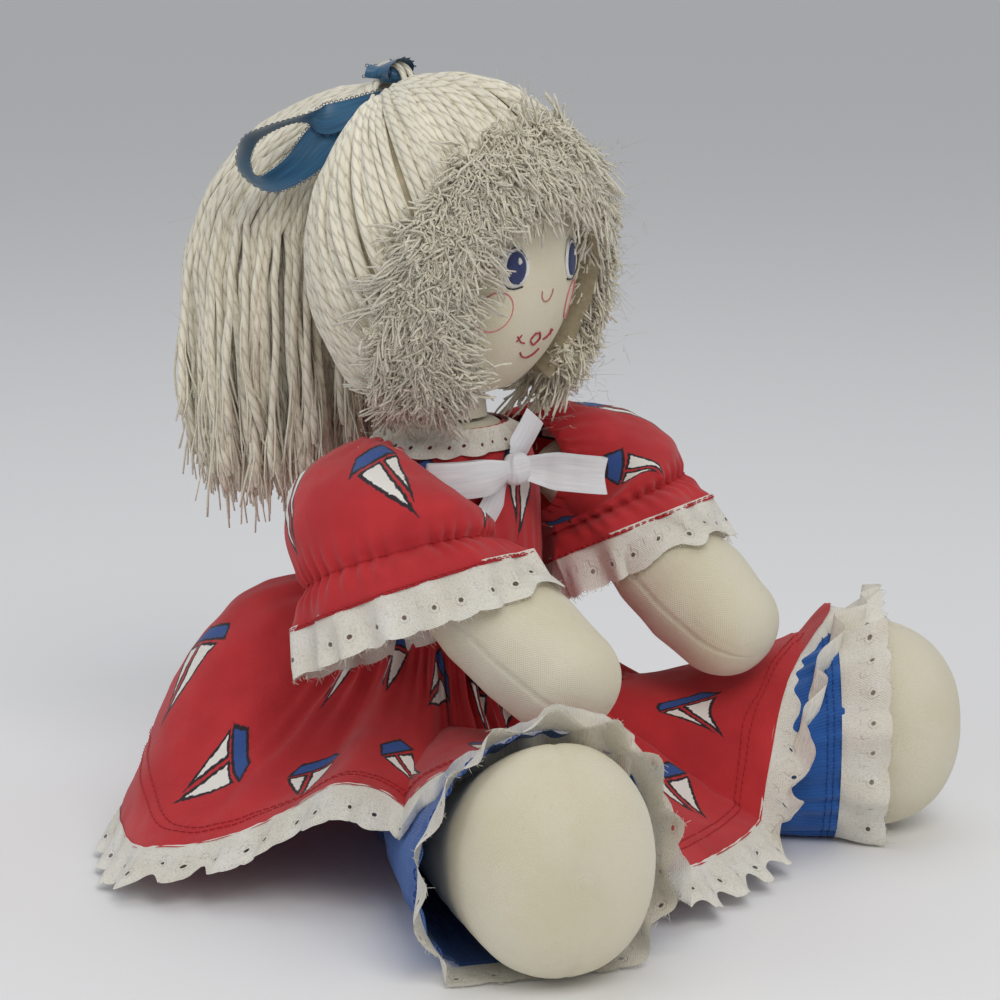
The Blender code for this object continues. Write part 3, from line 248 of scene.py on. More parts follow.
class Finish:
    """A material built from nodes, with short calls for the usual ones."""

    def __init__(self, name, colour, roughness=0.85, sheen=0.0, metallic=0.0):
        self.material = bpy.data.materials.new(name)
        self.material.use_nodes = True
        self.tree = self.material.node_tree
        self.shader = next(n for n in self.tree.nodes if n.type == "BSDF_PRINCIPLED")
        self.set("Base Color", (*colour, 1))
        self.set("Roughness", roughness)
        self.set("Metallic", metallic)
        if sheen:
            self.set("Sheen Weight", sheen)
            self.set("Sheen Roughness", 0.45)
        self.material.diffuse_color = (*colour, 1)

    def put(self, socket, value):
        if isinstance(value, Term):
            self.tree.links.new(value.socket, socket)
        else:
            socket.default_value = value

    def set(self, name, value):
        """Set or link an input of the surface's shader."""
        self.put(self.shader.inputs[name], value)

    def node(self, kind, inputs=(), output=0, **settings):
        """The output of a new node with its settings and its inputs, by number or name."""
        node = self.tree.nodes.new("ShaderNode" + kind)
        for key, value in settings.items():
            setattr(node, key, value)
        for key, value in dict(inputs).items():
            self.put(node.inputs[key], value)
        return Term(self, node.outputs[output])

    def math(self, operation, *values):
        return self.node("Math", enumerate(values), operation=operation)

    def vector(self, operation, *values):
        output = "Value" if operation == "LENGTH" else 0
        return self.node("VectorMath", enumerate(values), output, operation=operation)

    def split(self, value):
        first = self.node("SeparateXYZ", {0: value})
        return [Term(self, socket) for socket in first.socket.node.outputs]

    def join(self, x, y):
        return self.node("CombineXYZ", {0: x, 1: y})

    def uv(self):
        return self.node("UVMap", uv_map="cloth")

    def place(self):
        return self.node("TexCoord", output="Object")

    def noise(self, place, scale, detail=3.0):
        inputs = {"Vector": place, "Scale": scale, "Detail": detail, "Roughness": 0.55}
        return self.node("TexNoise", inputs, "Fac")

    def mix(self, share, a, b):
        a, b = (colour if isinstance(colour, Term) else (*colour, 1) for colour in (a, b))
        return self.node("Mix", {"Factor": share, "A": a, "B": b}, "Result", data_type="RGBA")

    def band(self, value, low, high):
        """0 below low, 1 above high, smooth between."""
        return self.node("MapRange", {"Value": value, "From Min": low, "From Max": high}, "Result",
                         interpolation_type="SMOOTHSTEP")

    def shade(self, scale, detail, low, high, a, b):
        """Two colours in soft clouds."""
        return self.mix(self.band(self.noise(self.place(), scale, detail), low, high), a, b)

    def bump(self, height, strength, distance):
        inputs = {"Strength": strength, "Distance": distance, "Height": height}
        normal = self.shader.inputs["Normal"]
        if normal.is_linked:
            inputs["Normal"] = Term(self, normal.links[0].from_socket)
        self.set("Normal", self.node("Bump", inputs))

    def grain(self, scale, detail, strength, distance):
        self.bump(self.noise(self.place(), scale, detail), strength, distance)

    def ribs(self, part, per_metre):
        """Waves along one flat direction of the cloth, so many to the metre."""
        return self.math("SINE", self.split(self.uv())["uv".index(part)] * (ALL_ROUND * per_metre))

    def weave(self, across, along, strength=0.35, distance=0.0003):
        """Plain weave at those thread counts, with slubs."""
        slubs = [self.noise(self.vector("MULTIPLY", self.uv(), (across * a, along * b, 1)), 1.0, 2.0) * 1.6
                 for a, b in ((0.5, 0.04), (0.04, 0.5))]
        self.bump(self.ribs("u", across) * self.ribs("v", along) + slubs[0] + slubs[1], strength, distance)


def muslin_finish(name, colour):
    f = Finish(name, colour, 0.9, 0.25)
    f.weave(900, 900, 0.4, 0.00025)
    warm = f.shade(22.0, 4.0, 0.35, 0.7, colour, tuple(c * m for c, m in zip(colour, (0.95, 0.93, 0.86))))
    fleck = f.band(f.noise(f.place(), 260.0), 0.62, 0.8)
    f.set("Base Color", f.mix(fleck * 0.16, warm, (0.42, 0.36, 0.25)))
    f.grain(55.0, 5.0, 0.25, 0.0008)
    return f.material


BOAT_CELL = (0.060, 0.070)
BOAT_SCALE = 0.00138
BIG_SAIL = ((-1, -5), (7.5, -4), (-1.6, 14))
SMALL_SAIL = ((-9, -5.5), (-3, -5), (-3.6, 10))
HULL = ((-9.5, -7), (-6, -12.5), (6, -12), (10, -6))


def print_shapes(f):
    """Small sailing boats tossed over the cloth, from half planes; returns sails, hull and line."""
    scaled = f.vector("DIVIDE", f.uv(), (*BOAT_CELL, 1))
    shifted = f.vector("ADD", scaled, f.join(f.math("FLOOR", f.split(scaled)[1]) * 0.5, 0.0))
    number = f.vector("FLOOR", shifted)
    local = f.vector("SUBTRACT", f.vector("SUBTRACT", shifted, number), (0.5, 0.5, 0))
    x, y, _ = f.split(f.vector("MULTIPLY", local, (*BOAT_CELL, 1)))
    turn = (f.node("TexWhiteNoise", {"Vector": number}, "Value", noise_dimensions="3D") - 0.5) * 1.9
    cosine, sine = f.math("COSINE", turn), f.math("SINE", turn)
    px, py = x * cosine - y * sine, x * sine + y * cosine
    wobble = (f.noise(f.uv(), 420.0, 2.0) - 0.5) * (1.4 * BOAT_SCALE)

    def shape(outline):
        best = None
        corners = np.array(outline) * BOAT_SCALE
        for (ax, ay), (bx, by) in zip(corners, np.roll(corners, -1, axis=0)):
            length = math.hypot(bx - ax, by - ay)
            nx, ny = (by - ay) / length, (ax - bx) / length
            side = px * nx + py * ny - (ax * nx + ay * ny)
            best = side if best is None else f.math("MAXIMUM", best, side)
        return best + wobble

    sails, hull = f.math("MINIMUM", shape(BIG_SAIL), shape(SMALL_SAIL)), shape(HULL)
    fills = [1.0 - f.band(side, -0.2 * BOAT_SCALE, 0.1 * BOAT_SCALE) for side in (sails, hull)]
    nearest = f.math("MINIMUM", f.math("ABSOLUTE", sails), f.math("ABSOLUTE", hull))
    edge = 0.36 * BOAT_SCALE
    return *fills, 1.0 - f.band(nearest, edge, edge * 1.9)


def red_finish():
    f = Finish("red_boat_print", (0.53, 0.022, 0.029), 0.86, 0.18)
    f.weave(1100, 1100, 0.35, 0.00022)
    base = f.shade(30.0, 5.0, 0.3, 0.75, (0.47, 0.018, 0.024), (0.59, 0.028, 0.034))
    for share, colour in zip(print_shapes(f), ((0.84, 0.82, 0.76), (0.030, 0.085, 0.30), (0.020, 0.014, 0.020))):
        base = f.mix(share, base, colour)
    f.set("Base Color", base)
    f.grain(90.0, 4.0, 0.3, 0.0006)
    return f.material


def blue_finish():
    f = Finish("blue_ribbed_cotton", (0.018, 0.115, 0.42), 0.85, 0.2)
    rib = f.ribs("u", 620)
    f.bump(rib, 0.45, 0.0003)
    f.weave(700, 1200, 0.25, 0.0002)
    base = f.shade(40.0, 4.0, 0.3, 0.7, (0.014, 0.095, 0.36), (0.024, 0.140, 0.48))
    # Painted shade of the ribs: the colour darkens with each rib's wave.
    f.set("Base Color", f.mix(f.band(rib, -1.0, 1.0) * 0.35, base, (0.010, 0.070, 0.28)))
    return f.material


def lace_finish(name, pitch, rise, depth):
    """Sheer cotton with small eyelets in a row near the edge; uv is metres along and from the top."""
    f = Finish(name, (0.83, 0.80, 0.71), 0.9, 0.3)
    f.weave(800, 800, 0.5, 0.0003)
    x, y, _ = f.split(f.uv())
    part = f.math("FRACT", x / pitch) - 0.5
    down = y - (depth - rise)
    reach = f.vector("LENGTH", f.join(part * pitch * 0.8, down))
    hole = 1.0 - f.band(reach, 0.0008, 0.0011)
    rim = 1.0 - f.band(reach, 0.0019, 0.0025)
    petal = f.math("SINE", (part + 0.25) * (2 * ALL_ROUND))
    sprig = f.band(petal, 0.1, 0.8) * (1.0 - f.band(f.math("ABSOLUTE", down + 0.0035), 0.0012, 0.0022))
    f.bump(rim + sprig, 0.7, 0.0005)
    base = f.shade(60.0, 4.0, 0.3, 0.75, (0.84, 0.80, 0.69), (0.92, 0.90, 0.83))
    # Painted shade: the eyelet holes are coloured dark brown, and are left partly see-through.
    f.set("Base Color", f.mix(hole, base, (0.10, 0.07, 0.055)))
    sheer = 0.93 - f.band(f.noise(f.uv(), 900.0, 2.0), 0.45, 0.7) * 0.14
    f.set("Alpha", sheer * (1.0 - hole * 0.55))
    return f.material


def satin_finish(name, colour, painted_shade_colour, roughness):
    f = Finish(name, colour, roughness, 0.35)
    f.bump(f.ribs("v", 1500), 0.15, 0.0001)
    # Painted sheen: light and dark streaks along the ribbon, mixed into its colour between the lit and the shaded
    # satin colours.
    painted_sheen = f.noise(f.vector("MULTIPLY", f.uv(), (40, 600, 1)), 1.0)
    f.set("Base Color", f.mix(f.band(painted_sheen, 0.3, 0.75), painted_shade_colour, colour))
    f.set("Anisotropic", 0.5)
    f.grain(120.0, 3.0, 0.15, 0.0005)
    return f.material


def yarn_finish(name, light, painted_shade_colour):
    """Three plies turning once in 8.5 mm, with each strand in its own tint and painted shade in the grooves
    between plies.
    """
    f = Finish(name, light, 0.95, 0.5)
    u, v, _ = f.split(f.uv())
    turn = u * 3.0 + v / 0.0085
    groove = f.band(f.math("ABSOLUTE", f.math("FRACT", turn) * 2.0 - 1.0), 0.62, 1.0)
    fuzzy = f.noise(f.place(), 900.0, 4.0)
    f.bump(fuzzy * 0.6 - groove, 0.7, 0.0006)
    tint = f.node("Attribute", output="Fac", attribute_name="tint")
    base = f.mix(tint, tuple(c * 0.93 for c in light), tuple(min(c * 1.05, 1) for c in light))
    # Painted shade: the grooves between the plies are darkened in the colour.
    base = f.mix(groove * 0.42, base, painted_shade_colour)
    f.set("Base Color", f.mix(f.band(fuzzy, 0.5, 0.8) * 0.25, base, (0.90, 0.86, 0.74)))
    return f.material


def plain_finish(name, colour, roughness=0.7, sheen=0.0, metallic=0.0, grain=400.0):
    f = Finish(name, colour, roughness, sheen, metallic)
    tone = f.noise(f.place(), grain)
    f.set("Base Color", f.mix(f.band(tone, 0.35, 0.7), tuple(c * 0.86 for c in colour), colour))
    f.bump(tone, 0.25, 0.0002)
    return f.material


LACE_PITCH, LACE_DEEP = 0.0165, 0.019
NECK_LACE_DEEP = 0.0130
muslin = muslin_finish("cream_muslin", (0.76, 0.71, 0.56))
red_print = red_finish()
blue_cotton = blue_finish()
lace = lace_finish("eyelet_lace", LACE_PITCH, 0.0062, LACE_DEEP)
neck_eyelet = lace_finish("neck_eyelet_lace", 0.0115, 0.0048, NECK_LACE_DEEP)
# The second colour of each satin is the shaded end of its painted sheen.
white_satin = satin_finish("white_satin", (0.87, 0.87, 0.88), (0.74, 0.75, 0.78), 0.38)
blue_satin = satin_finish("blue_satin", (0.030, 0.135, 0.26), (0.014, 0.075, 0.155), 0.34)
# The yarn's second colour is painted shade in the grooves between its plies.
yarn = yarn_finish("cream_yarn", (0.88, 0.83, 0.68), (0.58, 0.50, 0.34))
# Painted shade: a darker copy of the yarn, laid on the CAD hair cap under the strands.
painted_shade_yarn = plain_finish("cream_yarn_painted_shade", (0.46, 0.40, 0.27), 0.95, 0.2)
red_thread = plain_finish("red_thread", (0.52, 0.022, 0.030))
blue_thread = plain_finish("blue_thread", (0.010, 0.070, 0.30))
cream_thread = plain_finish("cream_thread", (0.80, 0.76, 0.63), 0.8)
navy_floss = plain_finish("navy_floss", (0.022, 0.040, 0.150), 0.55, 0.3)
black_floss = plain_finish("black_floss", (0.012, 0.011, 0.014), 0.6, 0.2)
white_floss = plain_finish("white_floss", (0.86, 0.86, 0.83), 0.55, 0.3)
pink_floss = plain_finish("pink_floss", (0.72, 0.24, 0.25), 0.6, 0.3)
rust_floss = plain_finish("rust_floss", (0.50, 0.19, 0.13), 0.6, 0.3)
wine_floss = plain_finish("wine_floss", (0.42, 0.025, 0.045), 0.6, 0.3)
nickel = plain_finish("nickel", (0.62, 0.61, 0.59), 0.28, 0.0, 1.0, 900.0)
blue_picot = plain_finish("blue_picot", (0.014, 0.045, 0.105), 0.6, 0.3)
fluff = plain_finish("cream_yarn_fluff", (0.87, 0.82, 0.67), 0.95, 0.5, 0.0, 700.0)


# The doll's own forms, in metres, as its frame has them

TORSO_LOW, TORSO_TALL = 0.0015, 0.1885
TORSO_WIDE, TORSO_FRONT, TORSO_BACK = 0.048, 0.037, 0.040
# Shares of the height, the width, the front and the back
TORSO = ((0.00, 0.66, 0.66, 0.76), (0.05, 0.82, 0.82, 0.90), (0.12, 0.93, 0.93, 0.98), (0.21, 0.99, 0.99, 1.00),
         (0.34, 1.00, 1.00, 1.00), (0.48, 0.95, 0.96, 0.94), (0.58, 0.91, 0.92, 0.86), (0.66, 0.89, 0.87, 0.82),
         (0.76, 0.92, 0.83, 0.82), (0.85, 0.95, 0.76, 0.78), (0.92, 0.86, 0.68, 0.70),
         (0.965, 0.66, 0.58, 0.60), (1.00, 0.385, 0.50, 0.4625))
TORSO_SQUARE = 2.3


def table(rows, share):
    rows = np.asarray(rows, float)
    return [np.interp(share, rows[:, 0], column) for column in rows.T[1:]]


def torso_at(height, angle, outset):
    """Points of the torso's surface, spread by an outset; a column of heights gives a row for each."""
    width, front, back = table(TORSO, (np.asarray(height, float) - TORSO_LOW) / TORSO_TALL)
    side, rise = power(np.cos(angle), TORSO_SQUARE), power(np.sin(angle), TORSO_SQUARE)
    depth = np.where(rise > 0, TORSO_BACK * back, TORSO_FRONT * front)
    flat = np.stack([TORSO_WIDE * width * side, depth * rise], -1)
    size = np.linalg.norm(flat, axis=-1, keepdims=True)
    flat = flat * (size + np.asarray(outset, float)[..., None]) / size
    return np.concatenate([flat, np.broadcast_to(height, size.shape[:-1])[..., None]], -1)


HEAD = np.array([0, -0.003, 0.262])
HEAD_SIZE = np.array([0.054, 0.050, 0.064])
HEAD_SQUARE = 2.15
HAIR_SIZE = HEAD_SIZE + 0.0092
TIE = np.array([0, 0.030, 0.3284])


def head_surface(x, z, lift=0.0):
    """The face's surface at a place across and up, a little out from the muslin."""
    ring = np.sqrt(np.maximum(1 - ((z - HEAD[2]) / HEAD_SIZE[2]) ** 2, 1e-4))
    s = np.clip(x / (HEAD_SIZE[0] * ring), -0.99, 0.99)
    depth = HEAD_SIZE[1] * ring * (1 - np.abs(s) ** HEAD_SQUARE) ** (1 / HEAD_SQUARE)
    return points_of(x, HEAD[1] - depth - lift, z)


LEG_LOW, LEG_LONG, LEG_WIDE, LEG_TALL = 0.0015, 0.176, 0.039, 0.0465
LEG = ((-0.10, 0.66, 0.60), (0.00, 0.74, 0.64), (0.10, 0.80, 0.66), (0.25, 0.84, 0.68), (0.40, 0.88, 0.72),
       (0.55, 0.94, 0.82), (0.67, 0.99, 0.93), (0.78, 1.00, 1.00))
LEG_SQUARE = 2.1
FOOT_START = 0.78


def leg_frame(m):
    hip, foot = np.array([m * 0.042, -0.036, 0]), np.array([m * 0.129, -0.153, 0])
    along = unit(foot - hip)
    return hip, along, unit(np.cross(UP, along))


def leg_row(m, share, outset, angle, wave=0.0):
    """A ring of the leg; wave swells it point by point."""
    hip, along, side = leg_frame(m)
    wide, tall = table(LEG, share)
    centre = hip + along * LEG_LONG * share + UP * (LEG_LOW + LEG_TALL * tall)
    swell = outset + wave
    return oval_ring(centre, side, UP, LEG_WIDE * wide + swell, LEG_TALL * tall + swell, angle, LEG_SQUARE)


def leg_cover(place, clear):
    """Height of cloth over the legs, tented beside them at 62 degrees."""
    best = np.zeros(len(place))
    lean = math.radians(62)
    edge = math.sin(lean)
    for m in (-1, 1):
        hip, along, side = leg_frame(m)
        flat = place * LEVEL - hip
        run = flat @ along
        share = np.clip(run / LEG_LONG, -0.05, 1.0)
        wide, tall = table(LEG, np.minimum(share, FOOT_START))
        cloth = LEG_LOW + clear + 0.004 * share + 0.0064 * np.clip((share - 0.58) / 0.07, 0, 1)
        half, high = LEG_WIDE * wide + cloth, LEG_TALL * tall + cloth
        middle = LEG_LOW + LEG_TALL * tall
        past = np.maximum.reduce([run - LEG_LONG * share, -0.05 * LEG_LONG - run, 0 * run])
        off = np.hypot(np.abs(flat @ side), past)
        top = middle + high * np.sqrt(np.maximum(1 - (off / half) ** 2, 0))
        slope = middle + high * math.cos(lean) - (off - half * edge) * math.tan(lean)
        best = np.maximum(best, np.where(off < half * edge, top, slope))
    return best


# Head, face and neck

def head_mesh():
    """The stuffed muslin head and the neck below it."""
    sweep = np.radians(np.linspace(4, 152, 60))[:, None]
    angle = full_turn(96)
    reach = np.sin(sweep)
    grid = HEAD + HEAD_SIZE * points_of(power(np.cos(angle), HEAD_SQUARE) * reach,
                                        power(np.sin(angle), HEAD_SQUARE) * reach, np.cos(sweep))
    grid += unit(grid - HEAD) * (smooth_noise(grid, 26.0) * 0.0006)[..., None]
    head = grid_object("head_muslin", grid[::-1], muslin, end=HEAD + UP * HEAD_SIZE)
    seat(head, "head", "muslin", "head_skin")
    level = np.linspace(0, 1, 12)[:, None]
    angle = full_turn(32)
    radius = 0.0163 * (1 - 0.06 * np.sin(math.pi * level))
    grid = points_of(radius * np.cos(angle), radius * np.sin(angle), 0.1915 + 0.0225 * level)
    grid += smooth_noise(grid, 160.0)[..., None] * 0.0004 * LEVEL
    neck = grid_object("neck_muslin", grid, muslin)
    seat(neck, "neck", "muslin", "neck")


def stroke(points, width):
    """A line of embroidery on the face, from places across and up in millimetres."""
    points = np.asarray(points, float) / 1000
    marks = run_along(points)
    t = np.linspace(0, marks[-1], max(int(marks[-1] / 0.0006), 3))
    if len(points) > 2:
        fine = np.linspace(0, marks[-1], len(points) * 12)
        padded = np.pad(sample(fine, marks, points), ((4, 4), (0, 0)), "edge")
        points = np.stack([np.convolve(v, np.ones(9) / 9, "valid") for v in padded.T], -1)
        marks = fine
    x, z = sample(t, marks, points).T
    radius = width / 2000 * (0.82 + 0.18 * np.abs(np.sin(t / 0.0021 * math.pi)))
    radius[[0, -1]] *= 0.6
    return head_surface(x, z, 0.0004), radius


def stitch(name, strokes, finish):
    """Strokes of one floss, joined to one piece on the head."""
    objs = []
    for k, (points, width) in enumerate(strokes):
        path, radius = stroke(points, width)
        objs.append(strands_object("%s_%d" % (name, k), path[None], radius[None], finish, 7))
    if len(objs) > 1:
        with bpy.context.temp_override(active_object=objs[0], selected_editable_objects=objs):
            bpy.ops.object.join()
    objs[0].name = name
    return objs[0]


def satin_patch(name, outline, finish, lean, pitch=0.00055, lift=0.0):
    """Satin stitch that fills an outline, given across and up in millimetres."""
    turn = np.array([[math.cos(lean), -math.sin(lean)], [math.sin(lean), math.cos(lean)]])
    laid = np.asarray(outline, float) / 1000 @ turn.T
    bow = 0.0002 + 0.0005 * np.sin(np.linspace(0, math.pi, 9)) ** 0.5
    paths = []
    for x in np.arange(laid[:, 0].min() + pitch / 2, laid[:, 0].max(), pitch):
        cuts = []
        for a, b in zip(laid, np.roll(laid, -1, axis=0)):
            if (a[0] - x) * (b[0] - x) < 0:
                cuts.append(a[1] + (b[1] - a[1]) * (x - a[0]) / (b[0] - a[0]))
        if len(cuts) >= 2:
            z = np.linspace(min(cuts), max(cuts), 9)
            across, up = (np.stack([np.full(9, x), z], -1) @ turn).T
            paths.append(head_surface(across, up, bow + lift))
    return strands_object(name, np.array(paths), pitch * 0.56, finish, 6)


def oval(cx, cz, half_x, half_z, count=40):
    a = full_turn(count)
    return np.stack([cx + half_x * np.cos(a), cz + half_z * np.sin(a)], -1)


# The face's places across and up, in millimetres
EYE_ACROSS, EYE_UP = 20.5, 262.0
CHEEK_ACROSS, CHEEK_UP = 27.0, 243.0
NOSE = ((-3.9, 250.5), (-3.7, 247.6), (-1.8, 245.6), (0.4, 245.2), (2.4, 246.2), (3.8, 248.8), (4.0, 250.8))
# Each stroke of the mouth and its thread's width
MOUTH = (
    (((-13.0, 231.5), (-9.5, 228.2), (-6.2, 227.4)), 0.9),
    (((-12.2, 228.6), (-10.4, 231.8)), 0.8),
    (((13.0, 231.8), (9.5, 228.4), (6.4, 227.6)), 0.9),
    (((12.2, 229.0), (10.6, 232.0)), 0.8),
    (((-3.6, 228.6), (-1.0, 231.8), (0.2, 230.6), (1.6, 231.8), (3.8, 228.4), (0.2, 225.6), (-3.6, 228.6)), 0.9),
    (((-7.0, 223.6), (-4.0, 221.0), (0.2, 220.0), (4.4, 221.2), (7.2, 223.8)), 0.9))


def face():
    """The plain embroidered face: two eyes, a nose, cheek rings and a small mouth."""
    parts = []
    for side, m in (("right", -1), ("left", 1)):
        cx, cz = m * EYE_ACROSS, EYE_UP
        parts.append(satin_patch("eye_white_" + side, oval(cx, cz, 7.4, 9.2), white_floss, 0.2))
        parts.append(satin_patch("iris_" + side, oval(cx - m * 0.4, cz - 0.4, 4.9, 6.9), navy_floss, 1.3,
                                 lift=0.0006))
        parts.append(satin_patch("eye_spark_" + side, oval(cx + 1.3, cz + 2.4, 0.9, 1.5), white_floss, 0.2,
                                 pitch=0.0004, lift=0.0011))
        ring = [(cx - m * 6.5 + m * 13.2 * t, cz + 9.2 * math.sin(math.pi * (0.1 + 0.85 * t)) - 1.0)
                for t in np.linspace(0, 1, 9)]
        under = [(cx + m * x, cz + z)
                 for x, z in ((7.2, 4.0), (7.6, -3.0), (4.5, -8.4), (0, -9.6), (-5.0, -8.6))]
        parts.append(stitch("eye_line_" + side, [(ring, 0.9), (under, 0.85)], black_floss))
        cheek = oval(m * CHEEK_ACROSS, CHEEK_UP, 7.6, 8.6, 30)
        parts.append(stitch("cheek_" + side, [(np.vstack([cheek, cheek[:2]]), 0.75)], pink_floss))
    parts.append(stitch("nose", [(NOSE, 0.75)], rust_floss))
    parts.append(stitch("mouth", MOUTH, wine_floss))
    for part in parts:
        seat(part, "head", "muslin")


# Hair

# Where the cap's yarn stops: the opening for the face, and the nape
FACE_FRONT, FACE_MIDDLE, FACE_WIDE, FACE_TALL = -0.012, 0.243, 0.047, 0.053
NAPE = 0.208
CAP_YARN, TAIL_YARN = 0.00175, 0.00165


def hair_cap():
    """Laid yarn from the tie over the head, in the meridians of its ball, down to the face and nape."""
    pole = unit((TIE - HEAD) / HAIR_SIZE)
    across = np.array([1.0, 0, 0])
    ahead = unit(np.cross(across, pole))
    paths = []
    for layer, number in enumerate(((148, 74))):
        for k in range(number):
            phi = ALL_ROUND * (k + 0.3 * rng.random()) / number + layer * 0.02
            heading = ahead * math.cos(phi) + across * math.sin(phi)
            drift = 0.05 * math.sin(phi * 5.0 + layer) + 0.03 * rng.normal()

            def way(theta):
                lead = unit(heading + np.cross(pole, heading) * (drift * np.sin(theta))[:, None])
                return pole * np.cos(theta)[:, None] + lead * np.sin(theta)[:, None]

            theta = np.linspace(0.15, 2.95, 150)
            x, y, z = (HEAD + way(theta) * HAIR_SIZE).T
            face_side = (y < FACE_FRONT) & ((x / FACE_WIDE) ** 2 + ((z - FACE_MIDDLE) / FACE_TALL) ** 2 < 1)
            stop = int(np.append(face_side | (z < NAPE), True).argmax())
            if stop == 0 or theta[stop - 1] < 0.35:
                continue
            theta = np.linspace(0.13 + 0.05 * layer, theta[stop - 1] + 0.04 * rng.random(), 34)
            lift = 0.0012 + 0.0016 * layer + 0.0010 * np.sin(theta * 7 + rng.random() * 6) * rng.random()
            lift = lift + 0.0022 * np.exp(-((theta - 0.25) / 0.18) ** 2)
            paths.append(HEAD + way(theta) * (HAIR_SIZE + lift[:, None]))
    paths = np.array(paths)
    radius = CAP_YARN * (0.92 + 0.16 * rng.random((len(paths), 1)))
    seat(strands_object("hair_cap_yarn", paths, radius, yarn, 7), "head", "cream_yarn")
    return paths


def tufts(roots, headings, lengths, droop, points, spread):
    """Short cut ends of yarn from their roots, drooping and splayed."""
    t = np.linspace(0, 1, points)[None, :, None]
    bend = rng.normal(size=(len(roots), 1, 3)) * spread
    path = roots[:, None] + (headings[:, None] + bend * t) * lengths[:, None, None] * t
    return path - UP * (t ** 2) * (droop * lengths)[:, None, None]


def clump(paths, size, root, tip):
    """Each strand as a few soft fibres that part towards the end and curl a little."""
    count, points = paths.shape[:2]
    part = rng.normal(size=(count, size, 1, 3)) * root
    spread = rng.normal(size=(count, size, 1, 3)) * tip
    t = np.linspace(0, 1, points)[:, None]
    phase = 6.3 * rng.random((count, size, 1, 3))
    curl = np.sin(phase + t * 6.5) * 0.0022 * t
    fibres = paths[:, None] + part * (0.4 + 0.6 * t) + spread * t ** 1.5 + curl
    return fibres.reshape(-1, points, 3)


def thinning(radius, start, end, count, points):
    """Radii of fibres that taper, each of its own thickness."""
    return radius * np.linspace(start, end, points)[None] * (0.8 + 0.4 * rng.random((count, 1)))


# The fringe: where its ring is centred, the ball it stands on and how far it may stand off it
FRINGE_MIDDLE = 0.252
FRINGE_BALL = 0.066
FRINGE_STAND = 0.019


def hair_fringe():
    """The dense cut fringe round the face, in rows rooted on the cap's front edge."""
    count = 2000
    angle = math.radians(-44) + math.radians(268) * rng.random(count)
    place = rng.random(count)
    high, low = (np.clip(s * np.sin(angle), 0, 1) for s in (1, -1))
    x = np.cos(angle) * (0.049 + 0.011 * place)
    z = FRINGE_MIDDLE + np.sin(angle) * (0.050 + 0.014 * place - 0.004 * high * (1 - place))
    ring = np.maximum(1 - ((z - HEAD[2]) / 0.074) ** 2, 0.02)
    s = np.clip(np.abs(x) / (0.064 * np.sqrt(ring)), 0, 0.97)
    y = HEAD[1] - 0.060 * np.sqrt(ring) * np.sqrt(1 - s * s)
    roots = np.stack([x, y * (1 - 0.10 * place) + 0.002, z], -1)
    normal = unit((roots - HEAD) / (HEAD_SIZE + 0.01) ** 2)
    out = 0.05 + 0.25 * place
    heading = normal * 0.70 + points_of(
        np.cos(angle) * out, 0.20 * low - 0.25 * (1 - place),
        np.sin(angle) * out - 0.20 * low - 0.28 - 0.20 * high * (1 - place))
    heading = unit(heading + rng.normal(size=(count, 3)) * 0.34)
    lengths = (0.0105 + 0.0085 * rng.random(count)) * (0.60 + 0.45 * place)
    paths = tufts(roots, heading, lengths, 0.45 + 0.25 * rng.random(count), 8, 0.55)
    fibres = clump(paths, 8, 0.0018, 0.0030)
    reach = (fibres - HEAD) / HEAD_SIZE
    far = np.linalg.norm(reach, axis=2, keepdims=True)
    stand = (far - 1) * FRINGE_BALL
    held = np.where(stand > FRINGE_STAND, FRINGE_STAND + (stand - FRINGE_STAND) * 0.35, stand)
    fibres = HEAD + reach / far * (1 + held / FRINGE_BALL) * HEAD_SIZE
    radius = thinning(0.00064, 1.2, 0.8, len(fibres), 8)
    seat(strands_object("hair_fringe_yarn", fibres, radius, fluff, 3), "head", "cream_yarn", "hair_fringe")
    return paths


# Shares down the tail: how far back and how far up its middle is, its width, and how much its root lies over
TAIL_MIDDLE = ((0, 0.02, -0.001), (0.03, 0.10, -0.004), (0.10, 0.36, -0.012), (0.22, 0.72, -0.030),
               (0.36, 0.93, -0.052), (0.52, 1.0, -0.080), (0.70, 1.0, -0.116), (0.86, 0.97, -0.148),
               (1.03, 0.94, -0.178))
TAIL_WIDE = ((0, 0.17), (0.05, 0.26), (0.15, 0.50), (0.3, 0.84), (0.5, 1.0), (0.75, 0.96), (1.03, 0.84))
TAIL_RISE = ((0, 0.95), (0.1, 0.90), (0.3, 0.45), (0.45, 0.12), (1.03, 0.0))
TAIL_BACK, TAIL_RADIUS = 0.064, 0.0455


